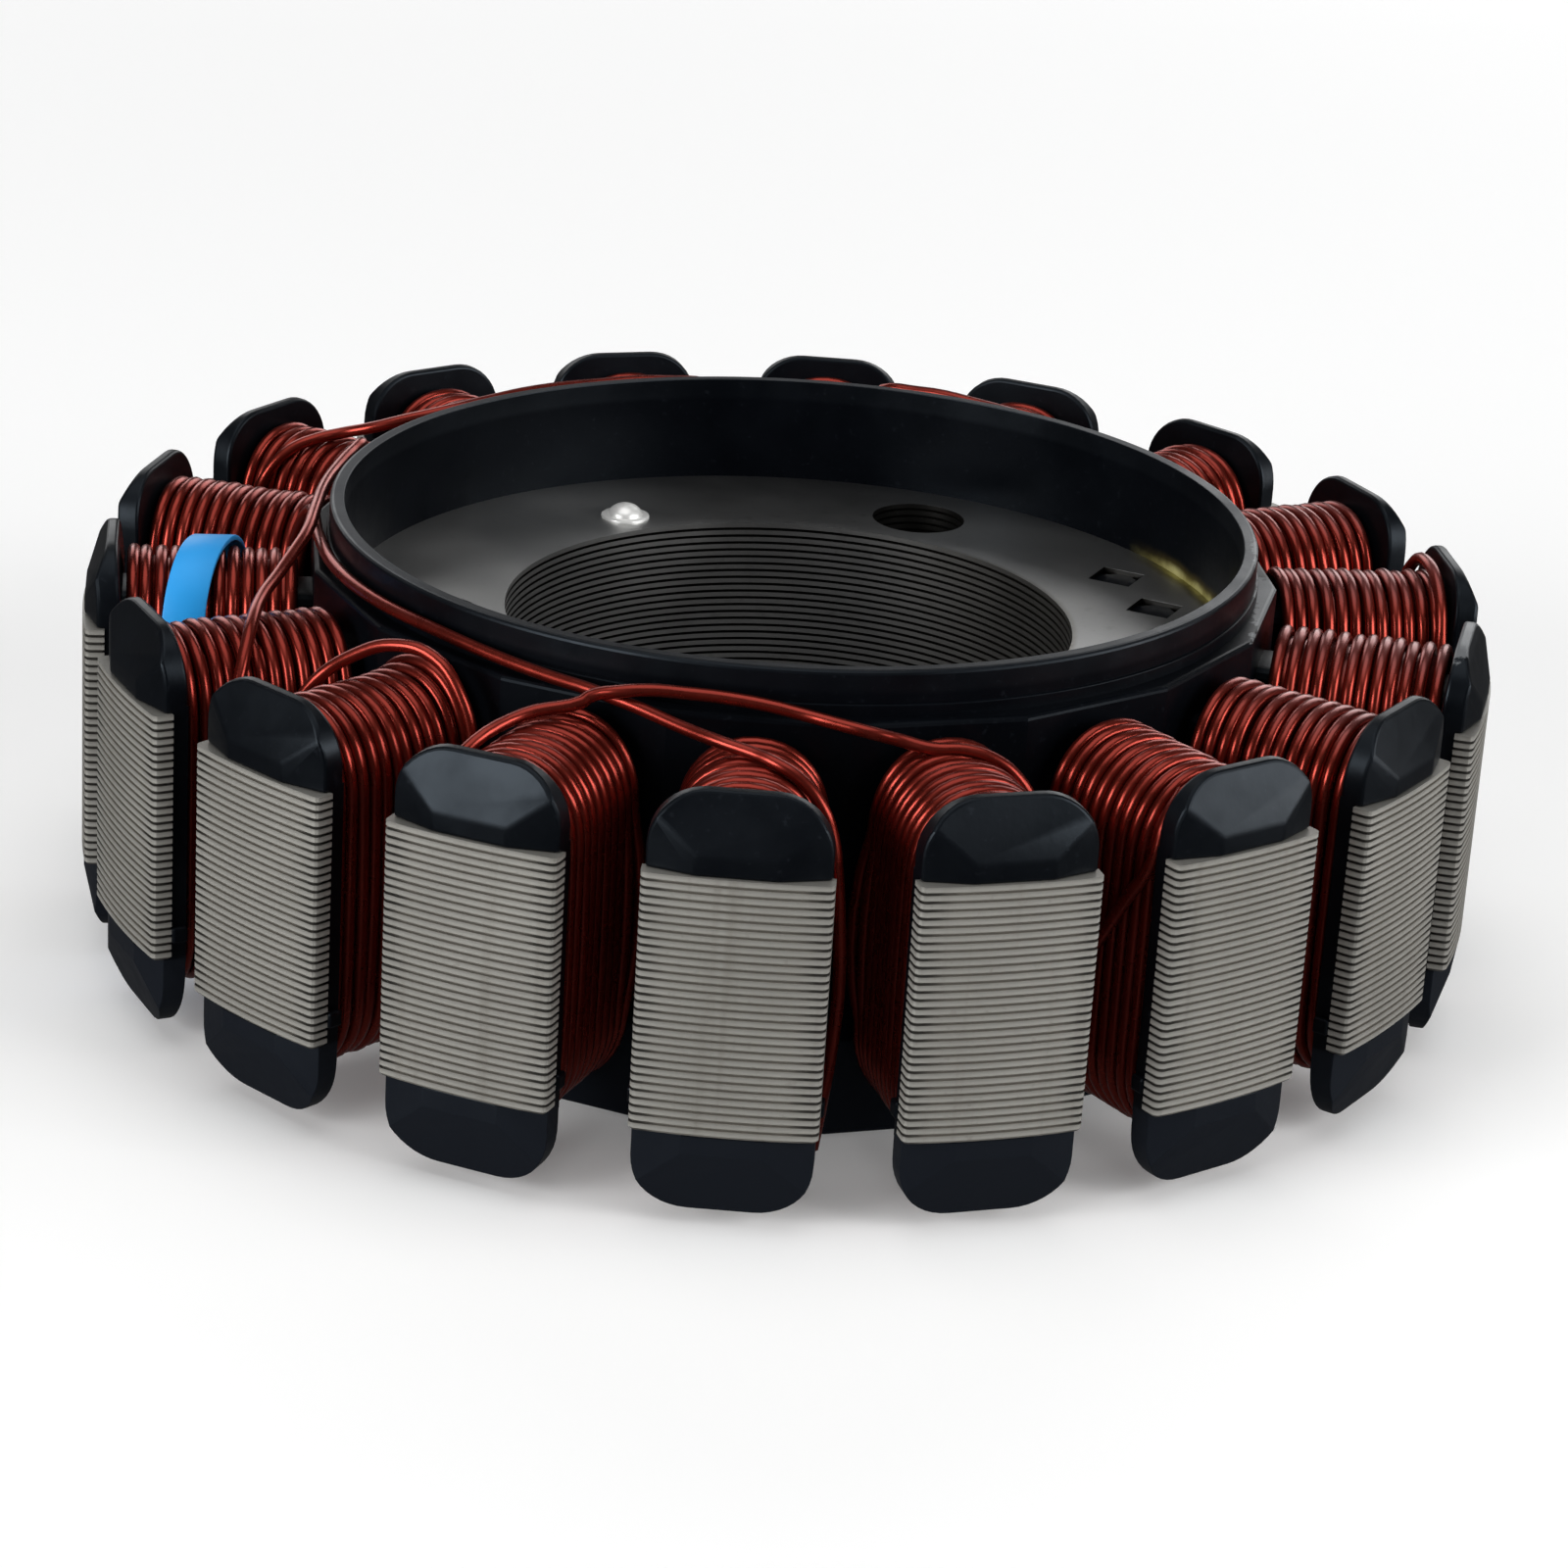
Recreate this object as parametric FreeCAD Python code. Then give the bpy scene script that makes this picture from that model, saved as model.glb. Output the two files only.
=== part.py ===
import FreeCAD, Part
import math
import os

from FreeCAD import Vector

# Motorcycle stator: a stack of electrical steel sheets with outward poles, a
# two-part moulded insulator over it and one coil of enamelled wire on each pole.
# The stator axis is Z, the lowest ring face is at Z = 0 and the first pole points
# to -Y. All sizes are in millimetres and all angles in degrees.

# Steel sheets
POLE_COUNT = 18
SHEET_COUNT = 32
SHEET_THICKNESS = 0.65
SHEETS_PER_RIDGE = 4
RIDGE_DEPTH = 0.22
RIDGE_LAND_SHARE = 0.7
STACK_RADIUS = 59.0
BORE_RADIUS = 24.0
SHOE_WIDTH = 14.23
SHOE_TIP_THICKNESS = 1.55
TOOTH_WIDTH = 4.6
YOKE_APOTHEM = 39.2

# Holes in the yoke
BOLT_COUNT = 3
BOLT_BORE_WALL = 2.05
BOLT_HOLE_RADIUS = 4.15
BOLT_HOLE_ANGLE = 40.8
RIVET_BORE_DISTANCE = 3.8
RIVET_ANGLE = -144.6
WINDOW_SIDE = 3.8
WINDOW_RING_DISTANCE = 5.4
WINDOW_ANGLES = (105.6, 120.4)
WINDOW_TURN = 113.0

# Rivet and window plugs
RIVET_SHANK_RADIUS = 1.2
RIVET_HEAD_RADIUS = 1.55
RIVET_DOME_HEIGHT = 1.15
RIVET_COLLAR_RADIUS = 2.2
RIVET_COLLAR_HEIGHT = 0.2
RIVET_SIDES = 10
DOME_STEPS = 2
DOME_FLAT_SHARE = 0.2
PLUG_RECESS = 0.4
PLUG_CLEARANCE = 0.1

# Moulded insulator
LINING_THICKNESS = 0.9
RING_OVERLAP = 1.6
UPPER_WALL_HEIGHT = 5.6
LOWER_WALL_HEIGHT = 8.2
WALL_CHAMFER = 0.4
COLLAR_HEIGHT = 3.65
COLLAR_THICKNESS = 1.2
COLLAR_CHAMFER = 0.3
UPPER_STRIP_LENGTH = 19.4
BOBBIN_SIDE_WALL = 0.8
BOBBIN_END_WALL = 1.8
BOBBIN_CHAMFER = 1.3
FLANGE_THICKNESS = 1.3
FLANGE_INSET = 0.25
UPPER_TAB_HEIGHT = 7.3
LOWER_TAB_HEIGHT = 7.7
TAB_CORNER_RADIUS = 3.8
TAB_CORNER_STEPS = 3
TAB_OVERHANG = 1.75
TAB_TIP_THICKNESS = 1.0
TAB_FACET_HALF_WIDTH = 3.1
TAB_FACET_FALL = 1.3
TAB_UPRIGHT = 1.6
NUB_HEIGHT = 1.3
NUB_PROJECTION = 0.5

# Coils
WIRE_DIAMETER = 1.05
TURNS_PER_LAYER = 12
TURNS_PER_RIDGE = 2
WINDING_BUILD = 2.8
WINDING_GROOVE = 0.4
WINDING_CHAMFER = 3.1
COIL_CLEARANCE = 0.05
COIL_FLANGE_GAP = 0.25
COIL_RING_GAP = 1.21

# Marker band round one coil
BAND_POLE = 14
BAND_WIDTH = 3.5
BAND_THICKNESS = 0.8
BAND_CLEARANCE = 0.05
BAND_PLACE_SHARE = 0.53
BAND_SKEW = 0.32

# Crossover wires
WIRE_CLEARANCE = 0.06
WIRE_SIDES = 6
BEND_TRIM = 1.2
GENTLE_BEND = 24.0
CORNER_STAND_SHARE = 0.33
CORNER_TANGENT = math.tan(math.radians(22.5))

# Sizes that follow from the ones above
pole_pitch = 360.0 / POLE_COUNT
half_pitch = math.radians(pole_pitch / 2.0)
stack_height = SHEET_COUNT * SHEET_THICKNESS
stack_bottom = LOWER_WALL_HEIGHT
stack_top = stack_bottom + stack_height
stack_middle = stack_bottom + stack_height / 2.0
shoe_half = SHOE_WIDTH / 2.0
shoe_tip_radius = math.sqrt(STACK_RADIUS ** 2 - shoe_half ** 2)
shoe_back = shoe_tip_radius - SHOE_TIP_THICKNESS
tooth_half = TOOTH_WIDTH / 2.0
ring_inner_radius = YOKE_APOTHEM - RING_OVERLAP
bolt_circle_radius = BORE_RADIUS + BOLT_BORE_WALL + BOLT_HOLE_RADIUS
rivet_radius = BORE_RADIUS + RIVET_BORE_DISTANCE
window_radius = ring_inner_radius - WINDOW_RING_DISTANCE
wall_apothem = YOKE_APOTHEM + LINING_THICKNESS
collar_radius = ring_inner_radius + COLLAR_THICKNESS
collar_top = UPPER_WALL_HEIGHT + COLLAR_HEIGHT
rim_level = stack_top + collar_top
lower_strip_length = stack_height - UPPER_STRIP_LENGTH
bobbin_half_width = tooth_half + BOBBIN_SIDE_WALL
flange_back = shoe_back - FLANGE_THICKNESS
flange_half = shoe_half - FLANGE_INSET
coil_inner_half_width = bobbin_half_width + COIL_CLEARANCE
coil_inner_half_height = stack_height / 2.0 + BOBBIN_END_WALL + COIL_CLEARANCE
coil_half_width = coil_inner_half_width + WINDING_BUILD
coil_half_height = coil_inner_half_height + WINDING_BUILD
coil_start = wall_apothem + COIL_RING_GAP
coil_end = flange_back - COIL_FLANGE_GAP
coil_length = coil_end - coil_start
coil_top = stack_middle + coil_half_height
wire_radius = WIRE_DIAMETER / 2.0


def turned(shape, angle):
    """A copy of the shape turned about the stator axis."""
    copy = shape.copy()
    copy.rotate(Vector(0, 0, 0), Vector(0, 0, 1), angle)
    return copy


def on_pole(shape, pole):
    """A shape drawn along +X, set on the given pole."""
    return turned(shape, -90.0 + pole * pole_pitch)


def on_every_pole(shape):
    return [on_pole(shape, pole) for pole in range(POLE_COUNT)]


def faceted_loft(sections, ring=False):
    """A solid with flat faces between matching points of the sections.

    The sections are capped at both ends, or with ring=True the last one meets
    the first again.
    """
    faces = []
    pairs = list(zip(sections, sections[1:]))
    if ring:
        pairs.append((sections[-1], sections[0]))
    for first, second in pairs:
        count = len(first)
        for i in range(count):
            j = (i + 1) % count
            corners = [first[i], first[j], second[j], second[i], first[i]]
            faces.append(Part.Face(Part.makePolygon(corners)))
    if not ring:
        for section in (sections[0], sections[-1]):
            faces.append(Part.Face(Part.makePolygon(section + section[:1])))
    solid = Part.Solid(Part.makeShell(faces))
    if solid.Volume < 0:
        solid.reverse()
    return solid


def extruded(points, direction):
    return Part.Face(Part.makePolygon(points + points[:1])).extrude(direction)


def block(x0, x1, half_width, z0, z1):
    size = (x1 - x0, 2.0 * half_width, z1 - z0)
    return Part.makeBox(*size, Vector(x0, -half_width, z0))


def pole_polygon(apothem, level):
    """Corners of the ring polygon whose flats face the poles."""
    radius = apothem / math.cos(half_pitch)
    corners = []
    for pole in range(POLE_COUNT):
        angle = math.radians(-90.0 + (pole + 0.5) * pole_pitch)
        corners.append(Vector(radius * math.cos(angle), radius * math.sin(angle), level))
    return corners


def chamfered_rectangle(x, half_width, half_height, chamfer):
    """Eight corners in the plane at x, round the point (x, 0, 0)."""
    w = half_width
    h = half_height
    c = chamfer
    outline = [(w, h - c), (w - c, h), (c - w, h), (-w, h - c)]
    outline += [(-w, c - h), (c - w, -h), (w - c, -h), (w, c - h)]
    return [Vector(x, y, z) for y, z in outline]


def inset_rectangle(x, half_width, half_height, chamfer, inset):
    """The chamfered rectangle with every side moved inwards by the same inset."""
    corner = chamfer - inset * (2.0 - math.sqrt(2.0))
    return chamfered_rectangle(x, half_width - inset, half_height - inset, corner)


# Lamination stack


def shoe_profile(back, front, y):
    """Side view of a pole shoe, with a ridge for each group of sheets."""
    ridges = SHEET_COUNT // SHEETS_PER_RIDGE
    pitch = stack_height / ridges
    points = [Vector(back, y, stack_bottom)]
    points.append(Vector(back, y, stack_top))
    for ridge in range(ridges):
        level = stack_top - ridge * pitch
        points.append(Vector(front, y, level))
        points.append(Vector(front - RIDGE_DEPTH, y, level - pitch * RIDGE_LAND_SHARE))
    points.append(Vector(front, y, stack_bottom))
    return points


def pole_steel():
    """One tooth with its shoe, the shoe face in two flats along the round."""
    left = shoe_profile(shoe_back, shoe_tip_radius, -shoe_half)
    middle = shoe_profile(shoe_back, STACK_RADIUS, 0.0)
    right = shoe_profile(shoe_back, shoe_tip_radius, shoe_half)
    shoe = faceted_loft([left, middle, right])
    root = YOKE_APOTHEM - LINING_THICKNESS
    tooth = block(root, shoe_back, tooth_half, stack_bottom, stack_top)
    return shoe.fuse(tooth)


def window_corners(angle, side, level):
    """Square window corners, turned to face outwards between the two windows."""
    centre = math.radians(angle - 90.0)
    x = window_radius * math.cos(centre)
    y = window_radius * math.sin(centre)
    corners = []
    for quarter in range(4):
        direction = math.radians(WINDOW_TURN - 90.0 + 45.0 + 90.0 * quarter)
        reach = side / math.sqrt(2.0)
        corner_x = x + reach * math.cos(direction)
        corner_y = y + reach * math.sin(direction)
        corners.append(Vector(corner_x, corner_y, level))
    return corners


def rivet_polygon(radius, level):
    """The many-sided section of the rivet round the line X = 0, Y = 0."""
    step = 2.0 * math.pi / RIVET_SIDES
    turns = [step * side for side in range(RIVET_SIDES)]
    return [Vector(radius * math.cos(turn), radius * math.sin(turn), level) for turn in turns]


def yoke_holes():
    up = Vector(0, 0, stack_height)
    holes = [Part.makeCylinder(BORE_RADIUS, stack_height, Vector(0, 0, stack_bottom))]
    for bolt in range(BOLT_COUNT):
        spot = Vector(bolt_circle_radius, 0, stack_bottom)
        hole = Part.makeCylinder(BOLT_HOLE_RADIUS, stack_height, spot)
        holes.append(turned(hole, -90.0 + BOLT_HOLE_ANGLE + bolt * 360.0 / BOLT_COUNT))
    hole = extruded(rivet_polygon(RIVET_SHANK_RADIUS, stack_bottom), up)
    hole.translate(Vector(rivet_radius, 0, 0))
    holes.append(turned(hole, -90.0 + RIVET_ANGLE))
    for angle in WINDOW_ANGLES:
        holes.append(extruded(window_corners(angle, WINDOW_SIDE, stack_bottom), up))
    return holes


def core_stack():
    yoke = extruded(pole_polygon(YOKE_APOTHEM, stack_bottom), Vector(0, 0, stack_height))
    steel = yoke.multiFuse(on_every_pole(pole_steel()))
    return steel.cut(yoke_holes()).removeSplitter()


def stack_rivet():
    """A rivet through the stack, with a low dome on a thin collar at both ends."""
    face = stack_height / 2.0
    seat = face + RIVET_COLLAR_HEIGHT
    outline = [(RIVET_SHANK_RADIUS, face), (RIVET_COLLAR_RADIUS, face)]
    outline.append((RIVET_COLLAR_RADIUS, seat))
    for step in range(DOME_STEPS):
        rise = math.radians(90.0 * step / DOME_STEPS)
        radius = RIVET_HEAD_RADIUS * math.cos(rise)
        outline.append((radius, seat + RIVET_DOME_HEIGHT * math.sin(rise)))
    outline.append((RIVET_HEAD_RADIUS * DOME_FLAT_SHARE, seat + RIVET_DOME_HEIGHT))
    full = [(radius, -level) for radius, level in reversed(outline)] + outline
    rivet = faceted_loft([rivet_polygon(radius, level) for radius, level in full])
    rivet.translate(Vector(rivet_radius, 0, stack_middle))
    return turned(rivet, -90.0 + RIVET_ANGLE)


def window_plugs():
    side = WINDOW_SIDE - 2.0 * PLUG_CLEARANCE
    height = Vector(0, 0, stack_height - 2.0 * PLUG_RECESS)
    plugs = []
    for angle in WINDOW_ANGLES:
        corners = window_corners(angle, side, stack_bottom + PLUG_RECESS)
        plugs.append(extruded(corners, height))
    return Part.makeCompound(plugs)


# Moulded insulator, drawn with the end face of the stack at Z = 0 and the
# outside of the stator above it


def insulator_ring(strip, wall_height, collar_height):
    """Ring wall with a flat for every pole and, on one half, a round collar."""
    sections = [pole_polygon(wall_apothem, -strip)]
    sections.append(pole_polygon(wall_apothem, wall_height - WALL_CHAMFER))
    sections.append(pole_polygon(wall_apothem - WALL_CHAMFER, wall_height))
    ring = faceted_loft(sections)
    top = wall_height + collar_height
    if collar_height > 0:
        inner = ring_inner_radius - COLLAR_THICKNESS
        outline = [(inner, 0), (collar_radius, 0), (collar_radius, top - COLLAR_CHAMFER)]
        outline += [(collar_radius - COLLAR_CHAMFER, top), (inner, top)]
        face = Part.Face(Part.makePolygon([Vector(x, 0, z) for x, z in outline + outline[:1]]))
        ring = ring.fuse(face.revolve(Vector(0, 0, 0), Vector(0, 0, 1), 360))
    return ring.cut(Part.makeCylinder(ring_inner_radius, top + strip, Vector(0, 0, -strip)))


def tab_outline(x, bottom, top, nub):
    """Outline of the coil flange with its tab: round corners at the top and,
    where the side strip is long enough, a small nub on each side at its end."""
    half = flange_half
    radius = TAB_CORNER_RADIUS
    side = []
    if nub:
        side.append((half + NUB_PROJECTION, bottom))
        side.append((half + NUB_PROJECTION, bottom + NUB_HEIGHT))
        side.append((half, bottom + 2.0 * NUB_HEIGHT))
    else:
        side.append((half, bottom))
    for step in range(TAB_CORNER_STEPS + 1):
        turn = math.radians(90.0 * step / TAB_CORNER_STEPS)
        y = half - radius + radius * math.cos(turn)
        side.append((y, top - radius + radius * math.sin(turn)))
    outline = side + [(-y, z) for y, z in reversed(side)]
    return [Vector(x, y, z) for y, z in outline]


def tab_front(tab_height):
    """The part of the tab that stands over the shoe, with its slanting facets."""
    front = shoe_back + TAB_OVERHANG
    outline = tab_outline(shoe_back, 0.0, tab_height, False)
    body = extruded(outline, Vector(TAB_OVERHANG, 0, 0))
    reach = flange_half + NUB_PROJECTION
    slope = (front - TAB_TIP_THICKNESS - flange_back - FLANGE_THICKNESS / 2.0)
    tip = front - slope
    outside = [Vector(front, -reach, TAB_UPRIGHT), Vector(front + 1.0, -reach, TAB_UPRIGHT)]
    outside += [Vector(front + 1.0, -reach, tab_height), Vector(tip, -reach, tab_height)]
    cutters = [extruded(outside, Vector(0, 2.0 * reach, 0))]
    up = Vector(0, 0, tab_height)
    for side in (-1.0, 1.0):
        near = Vector(front, side * TAB_FACET_HALF_WIDTH, 0)
        far = Vector(front - TAB_FACET_FALL, side * reach, 0)
        out = Vector(front + 1.0, side * reach, 0)
        beside = Vector(front + 1.0, side * TAB_FACET_HALF_WIDTH, 0)
        cutters.append(extruded([near, far, out, beside], up))
    return body.cut(cutters)


def bobbin_arm(strip, tab_height, nub):
    """Sleeve round one tooth, coil flange and tab, drawn along +X."""
    depth = stack_height / 2.0
    start = wall_apothem - LINING_THICKNESS
    sleeve_sections = []
    for x in (start, shoe_back):
        outline = chamfered_rectangle(x, bobbin_half_width, depth + BOBBIN_END_WALL, BOBBIN_CHAMFER)
        sleeve_sections.append([point - Vector(0, 0, depth) for point in outline])
    sleeve = faceted_loft(sleeve_sections)
    inside = block(start - 1.0, shoe_back + 1.0, bobbin_half_width + 1.0, -strip, depth)
    sleeve = sleeve.common(inside)
    outline = tab_outline(flange_back, -strip, tab_height, nub)
    flange = extruded(outline, Vector(FLANGE_THICKNESS, 0, 0))
    relief = flange_back + FLANGE_THICKNESS / 2.0
    height = BOBBIN_END_WALL
    wedge = [Vector(flange_back, -flange_half, height), Vector(relief, -flange_half, tab_height)]
    wedge.append(Vector(flange_back, -flange_half, tab_height))
    flange = flange.cut(extruded(wedge, Vector(0, 2.0 * flange_half, 0)))
    return sleeve.fuse([flange, tab_front(tab_height)])


def insulator(strip, tab_height, wall_height, collar_height, nub):
    arms = on_every_pole(bobbin_arm(strip, tab_height, nub))
    body = insulator_ring(strip, wall_height, collar_height).multiFuse(arms)
    yoke = extruded(pole_polygon(YOKE_APOTHEM, -stack_height), Vector(0, 0, stack_height))
    tooth = block(YOKE_APOTHEM - LINING_THICKNESS, shoe_back, tooth_half, -stack_height, 0.0)
    return body.cut([yoke] + on_every_pole(tooth)).removeSplitter()


def upper_insulator():
    body = insulator(UPPER_STRIP_LENGTH, UPPER_TAB_HEIGHT, UPPER_WALL_HEIGHT, COLLAR_HEIGHT, True)
    body.translate(Vector(0, 0, stack_top))
    return body


def lower_insulator():
    body = insulator(lower_strip_length, LOWER_TAB_HEIGHT, LOWER_WALL_HEIGHT, 0.0, False)
    body.rotate(Vector(0, 0, 0), Vector(1, 0, 0), 180)
    body.translate(Vector(0, 0, stack_bottom))
    return body


# Coils


def coil():
    """One wound coil: ridged by its turns outside, plain inside."""
    size = (coil_half_width, coil_half_height, WINDING_CHAMFER)
    inner_size = (coil_inner_half_width, coil_inner_half_height, BOBBIN_CHAMFER)
    sections = [inset_rectangle(coil_start, *size, WINDING_GROOVE)]
    ridges = TURNS_PER_LAYER // TURNS_PER_RIDGE
    pitch = coil_length / ridges
    for ridge in range(ridges):
        crest = coil_start + (ridge + 0.5) * pitch
        sections.append(inset_rectangle(crest, *size, 0.0))
        sections.append(inset_rectangle(crest + pitch / 2.0, *size, WINDING_GROOVE))
    sections.append(inset_rectangle(coil_end, *inner_size, 0.0))
    sections.append(inset_rectangle(coil_start, *inner_size, 0.0))
    body = faceted_loft(sections, ring=True)
    body.translate(Vector(0, 0, stack_middle))
    return body


def marker_band():
    """A flat coloured loop that lies askew round the outside of one coil."""
    size = (coil_half_width, coil_half_height, WINDING_CHAMFER)
    start = coil_start + BAND_PLACE_SHARE * coil_length - BAND_WIDTH / 2.0
    end = start + BAND_WIDTH
    inner = -BAND_CLEARANCE
    outer = -BAND_CLEARANCE - BAND_THICKNESS
    sections = [inset_rectangle(start, *size, inner), inset_rectangle(start, *size, outer)]
    sections += [inset_rectangle(end, *size, outer), inset_rectangle(end, *size, inner)]
    askew = [[point + Vector(BAND_SKEW * point.y, 0, 0) for point in section] for section in sections]
    band = faceted_loft(askew, ring=True)
    band.translate(Vector(0, 0, stack_middle))
    return on_pole(band, BAND_POLE)


# Crossover wires: each route is a list of points that lie beside a coil, over
# a coil, against the collar or down a slot. A turn is counted in pole pitches
# from the first pole, a depth below the coil top in coil heights, and a drop,
# lift or stand in wire diameters.


def polar(radius, turn, level):
    angle = math.radians(turn * pole_pitch - 90.0)
    return Vector(radius * math.cos(angle), radius * math.sin(angle), level)


def off_surface(stand):
    """Distance of a wire's middle line from what it lies on."""
    return wire_radius + WIRE_CLEARANCE + stand * WIRE_DIAMETER


def coil_point(pole, along, y, level):
    """A point at a share along a coil, with its own distance across and level."""
    x = coil_start + along * coil_length
    turn = math.degrees(math.atan2(y, x)) / pole_pitch
    return polar(math.hypot(x, y), pole + turn, level)


def beside_coil(pole, along, side, below, stand=0.0):
    """Against the side of a coil."""
    y = coil_half_width + off_surface(stand)
    return coil_point(pole, along, side * y, coil_top - 2.0 * below * coil_half_height)


def over_coil(pole, along, across, lift=0.0):
    """Over a coil's top, at a share of its half width across."""
    return coil_point(pole, along, across * coil_half_width, coil_top + off_surface(lift))


def over_corner(pole, along, side, stand=CORNER_STAND_SHARE):
    """Over the edge between a coil's top and its slanting corner."""
    reach = off_surface(stand)
    y = coil_half_width - WINDING_CHAMFER + reach * CORNER_TANGENT
    return coil_point(pole, along, side * y, coil_top + reach)


def past_corner(pole, along, side, stand=CORNER_STAND_SHARE):
    """Beside the edge between a coil's slanting corner and its side."""
    reach = off_surface(stand)
    level = coil_top - WINDING_CHAMFER + reach * CORNER_TANGENT
    return coil_point(pole, along, side * (coil_half_width + reach), level)


def by_collar(turn, drop, stand=0.0):
    """Against the collar, a drop below the rim."""
    level = rim_level - wire_radius - drop * WIRE_DIAMETER
    return polar(collar_radius + off_surface(stand), turn, level)


def down_slot(turn, below):
    """Down the slot between two coils."""
    return polar(coil_start + WIRE_DIAMETER, turn, coil_top - 2.0 * below * coil_half_height)


def rounded_route(points):
    """The route with a chord in place of each corner that isn't a gentle one."""
    route = [points[0]]
    for before, corner, after in zip(points, points[1:], points[2:]):
        back = before - corner
        ahead = after - corner
        bend = 180.0 - math.degrees(back.getAngle(ahead))
        if bend < GENTLE_BEND:
            route.append(corner)
            continue
        trim = min(0.3 * back.Length, 0.3 * ahead.Length, BEND_TRIM)
        route.append(corner + back.normalize() * trim)
        route.append(corner + ahead.normalize() * trim)
    route.append(points[-1])
    return route


def bent_wire(points):
    """A wire of WIRE_SIDES sides along the route, mitred at every bend."""
    route = rounded_route(points)
    runs = [(end - start).normalize() for start, end in zip(route, route[1:])]
    across = runs[0].cross(Vector(0, 0, 1) if abs(runs[0].z) < 0.9 else Vector(1, 0, 0)).normalize()
    up = across.cross(runs[0]).normalize()
    ring = []
    for side in range(WIRE_SIDES):
        turn = 2.0 * math.pi * side / WIRE_SIDES
        spoke = across * math.cos(turn) + up * math.sin(turn)
        ring.append(route[0] + spoke * wire_radius)
    rings = [ring]
    for i, run in enumerate(runs):
        mitre = run + runs[i + 1] if i + 1 < len(runs) else run
        joint = route[i + 1]
        ring = [point + run * ((joint - point).dot(mitre) / run.dot(mitre)) for point in ring]
        rings.append(ring)
    return faceted_loft(rings)


def crossover_a():
    """From the slot at the left, round the collar and down the first coil."""
    return bent_wire([
        down_slot(-4.5, 0.299),
        down_slot(-4.51, 0.08),
        by_collar(-4.375, 2.1, 1.3),
        by_collar(-3.95, 2.1, 0.4),
        by_collar(-3.35, 1.94, 0.3),
        by_collar(-2.7, 1.8, 0.3),
        by_collar(-2.05, 1.72, 0.3),
        by_collar(-1.5, 2.1, 0.4),
        by_collar(-0.98, 2.2, 1.5),
        by_collar(-0.66, 2.5, 2.5),
        over_coil(0, 0.36, -0.2, 0.3),
        over_coil(0, 0.46, 0.35, 0.19),
        over_corner(0, 0.54, 1.0),
        past_corner(0, 0.62, 1.0),
        beside_coil(0, 0.74, 1.0, 0.34, 0.95),
        beside_coil(0, 0.78, 1.0, 0.498, 1.29),
        beside_coil(0, 0.78, 1.0, 0.681, 0.95),
        beside_coil(0, 0.77, 1.0, 0.847, 0.48),
        beside_coil(0, 0.76, 1.0, 0.98, 0.29),
    ])


def crossover_b():
    """Over two coils and the wall between them, at the front."""
    return bent_wire([
        beside_coil(17, 0.74, -1.0, 0.332, 0.29),
        past_corner(17, 0.73, -1.0),
        over_corner(17, 0.68, -1.0),
        over_coil(17, 0.3, -0.33, 0.4),
        over_coil(17, 0.13, 0.15, 1.0),
        by_collar(-0.85, 1.7, 3.1),
        by_collar(-0.66, 1.25, 2.4),
        by_collar(-0.2, 1.5, 1.15),
        by_collar(0.2, 2.1, 1.45),
        by_collar(0.6, 2.9, 3.3),
        over_coil(1, 0.19, -0.25, 0.2),
        over_corner(1, 0.3, 1.0),
        past_corner(1, 0.35, 1.0),
        beside_coil(1, 0.37, 1.0, 0.332, 0.19),
    ])


def crossover_c():
    """From the third coil on the left up to the collar and back."""
    return bent_wire([
        beside_coil(15, 0.76, 1.0, 0.332, 0.19),
        past_corner(15, 0.74, 1.0),
        over_corner(15, 0.66, 1.0),
        over_coil(15, 0.52, 0.2, 0.24),
        by_collar(-3.325, 2.4, 4.8),
        by_collar(-3.72, 1.0, 1.6),
        by_collar(-4.06, 0.6, 0.75),
        by_collar(-4.5, 0.5, 0.45),
        by_collar(-4.95, 0.3, 0.45),
        by_collar(-5.35, 0.3, 0.7),
        down_slot(-5.49, 0.04),
        down_slot(-5.5, 0.233),
    ])


def crossover_d():
    """Round the back of the collar at the left."""
    return bent_wire([
        beside_coil(12, 0.82, 1.0, 0.332, 0.19),
        past_corner(12, 0.8, 1.0),
        over_corner(12, 0.73, 1.0),
        over_coil(12, 0.58, 0.3, 0.24),
        by_collar(-6.1, 2.1, 5.2),
        by_collar(-6.3, 1.0, 2.3),
        by_collar(-6.65, 0.42, 0.9),
        by_collar(-7.2, 0.17, 0.55),
        by_collar(-7.8, 0.25, 0.62),
        by_collar(-8.3, 1.14, 1.05),
        down_slot(-8.51, 0.073),
        down_slot(-8.5, 0.249),
    ])


def crossover_e():
    """Round the back of the collar at the right."""
    return bent_wire([
        beside_coil(9, 0.2, -1.0, 0.332, 0.1),
        past_corner(9, 0.17, -1.0),
        by_collar(8.65, 1.14, 2.1),
        by_collar(8.35, 0.14, 1.05),
        by_collar(7.9, 0.24, 0.48),
        by_collar(7.4, 0.7, 0.38),
        by_collar(6.925, 1.3, 0.6),
        down_slot(6.55, 0.053),
        down_slot(6.51, 0.233),
    ])


def loose_turn():
    """The last turn of one coil, bowed up over its inner end."""
    return bent_wire([
        beside_coil(16, 0.52, -1.0, 0.332, 0.1),
        past_corner(16, 0.5, -1.0),
        over_corner(16, 0.43, -1.0, 0.48),
        over_coil(16, 0.24, -0.05, 1.33),
        over_coil(16, 0.14, 0.35, 1.19),
        past_corner(16, 0.11, 1.0, 0.57),
        beside_coil(16, 0.11, 1.0, 0.266, 0.19),
        beside_coil(16, 0.11, 1.0, 0.399, 0.1),
    ])


# All pieces, one file for each


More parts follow.
